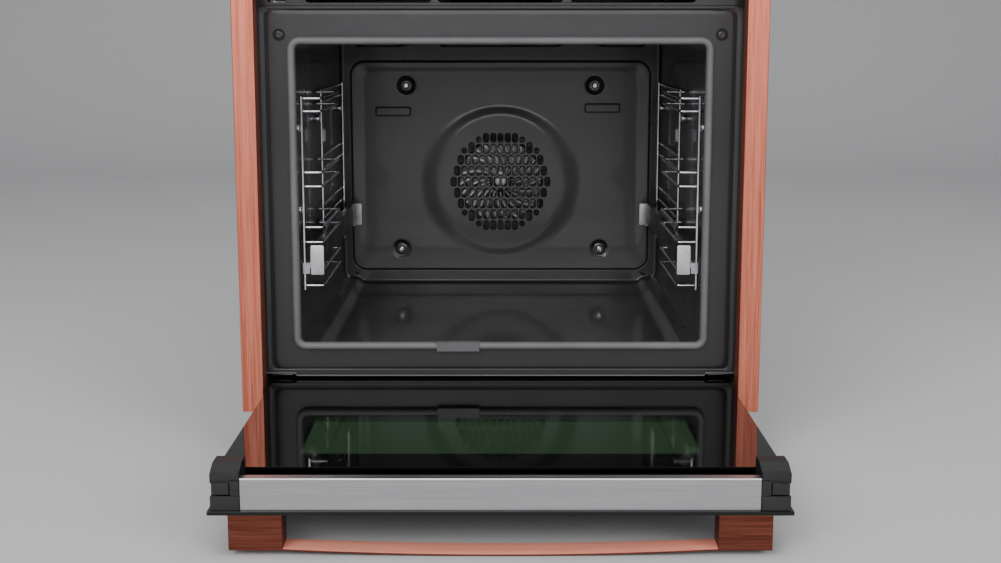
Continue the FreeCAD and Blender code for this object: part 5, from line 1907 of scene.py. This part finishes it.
@dataclass
class Studio:
    """The floor, plinth, lights and camera.

    Attributes:
        eye: Where the camera stands.
        lens: Its focal length in millimetres.
        lift: Its vertical shift, as a share of the picture's width.
        dip: How far it looks down, in degrees.
    """

    eye: tuple[float, float, float] = (0.0, -1.3115, 0.4493)
    lens: float = 41.612
    lift: float = -0.095
    dip: float = 7.695

    def build(self) -> None:
        """Makes the stage and lights it."""
        paper = Paper("studio_paper", "", (0.56, 0.555, 0.55, 1.0))
        ground = CAD_BOX[0].z - 0.4 * MM
        profile = [(-6.0, 0.0), (2.6, 0.0)]
        bends = [math.radians(9 * k) for k in range(1, 11)]
        profile += [(2.6 + math.sin(t), 1 - math.cos(t)) for t in bends]
        profile.append((3.6, 5.0))
        rows = [[Vector((x, y, ground + z)) for x in (-9.0, 9.0)] for y, z in profile]
        self.prop("studio_sweep", Shell.blank().loops(rows, closed=False), paper)
        base_low, base_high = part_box("base_plate")
        low = Vector((base_low.x, base_low.y + 0.02, ground))
        high = Vector((base_high.x, base_high.y, base_low.z - 0.2 * MM))
        self.prop("studio_plinth", Shell.blank().block(low, high, 2 * MM), paper)
        self.lamp("key_panel", (-1.5, -2.4, 2.1), (0, 0.1, 0.3), (1.8, 1.4), 58.0)
        self.lamp("fill_panel", (1.9, -1.9, 1.5), (0, 0.1, 0.3), (1.4, 1.4), 32.0)
        self.lamp("front_panel", (0.0, -2.6, 0.95), (0, 0.2, 0.25), (1.6, 0.8), 13.0)
        self.lamp("roof_panel", (0.0, -0.4, 2.6), (0, 0.1, 0.3), (2.4, 1.2), 26.0)
        world = bpy.data.worlds.new("studio_air")
        bpy.context.scene.world = world
        world.use_nodes = True
        world.node_tree.nodes["Background"].inputs[0].default_value = (0.9, 0.93, 1.0, 1.0)
        world.node_tree.nodes["Background"].inputs[1].default_value = 0.42
        self.camera()

    def prop(self, name: str, shell: Shell, finish: Finish) -> None:
        """Makes a prop that isn't part of the oven.

        Args:
            name: Its name.
            shell: Its mesh.
            finish: Its finish.
        """
        mesh = bpy.data.meshes.new(name)
        mesh.from_pydata([tuple(p) for p in shell.points], [], shell.faces)
        mesh.materials.append(finish.material())
        mesh.shade_smooth()
        mesh.set_sharp_from_angle(angle=math.radians(40))
        made = bpy.data.objects.new(name, mesh)
        bpy.context.scene.collection.objects.link(made)

    def lamp(
        self,
        name: str,
        place: tuple[float, float, float],
        target: tuple[float, float, float],
        size: tuple[float, float],
        power: float,
    ) -> None:
        """Hangs a soft panel light.

        Args:
            name: Its name.
            place: Where it hangs.
            target: What it faces.
            size: Its width and height.
            power: Its power in watts.
        """
        light = bpy.data.lights.new(name, "AREA")
        light.shape = "RECTANGLE"
        light.size, light.size_y = size
        light.energy = power
        holder = bpy.data.objects.new(name, light)
        holder.location = place
        holder.rotation_euler = (Vector(target) - Vector(place)).to_track_quat("-Z", "Y").to_euler()
        bpy.context.scene.collection.objects.link(holder)

    def camera(self) -> None:
        """Sets up the camera."""
        data = bpy.data.cameras.new("view_camera")
        data.sensor_width = 36.0
        data.lens = self.lens
        data.shift_y = self.lift
        data.clip_start = 0.02
        holder = bpy.data.objects.new("view_camera", data)
        holder.location = self.eye
        holder.rotation_euler = (math.radians(90 - self.dip), 0, 0)
        bpy.context.scene.collection.objects.link(holder)
        bpy.context.scene.camera = holder


def main() -> None:
    """Builds the oven's looks one sub-assembly after another."""
    logging.basicConfig(level=logging.INFO, format="%(name)s: %(message)s")
    inside = (FrontFrame(), CavityLiner(), RearBaffle(), SideRacks())
    for part in inside + (FoldingDoor(), Casing(), ControlPanel()):
        part.build()
        LOG.info("%s done", type(part).__name__)
    Studio().build()


if __name__ == "__main__":
    main()
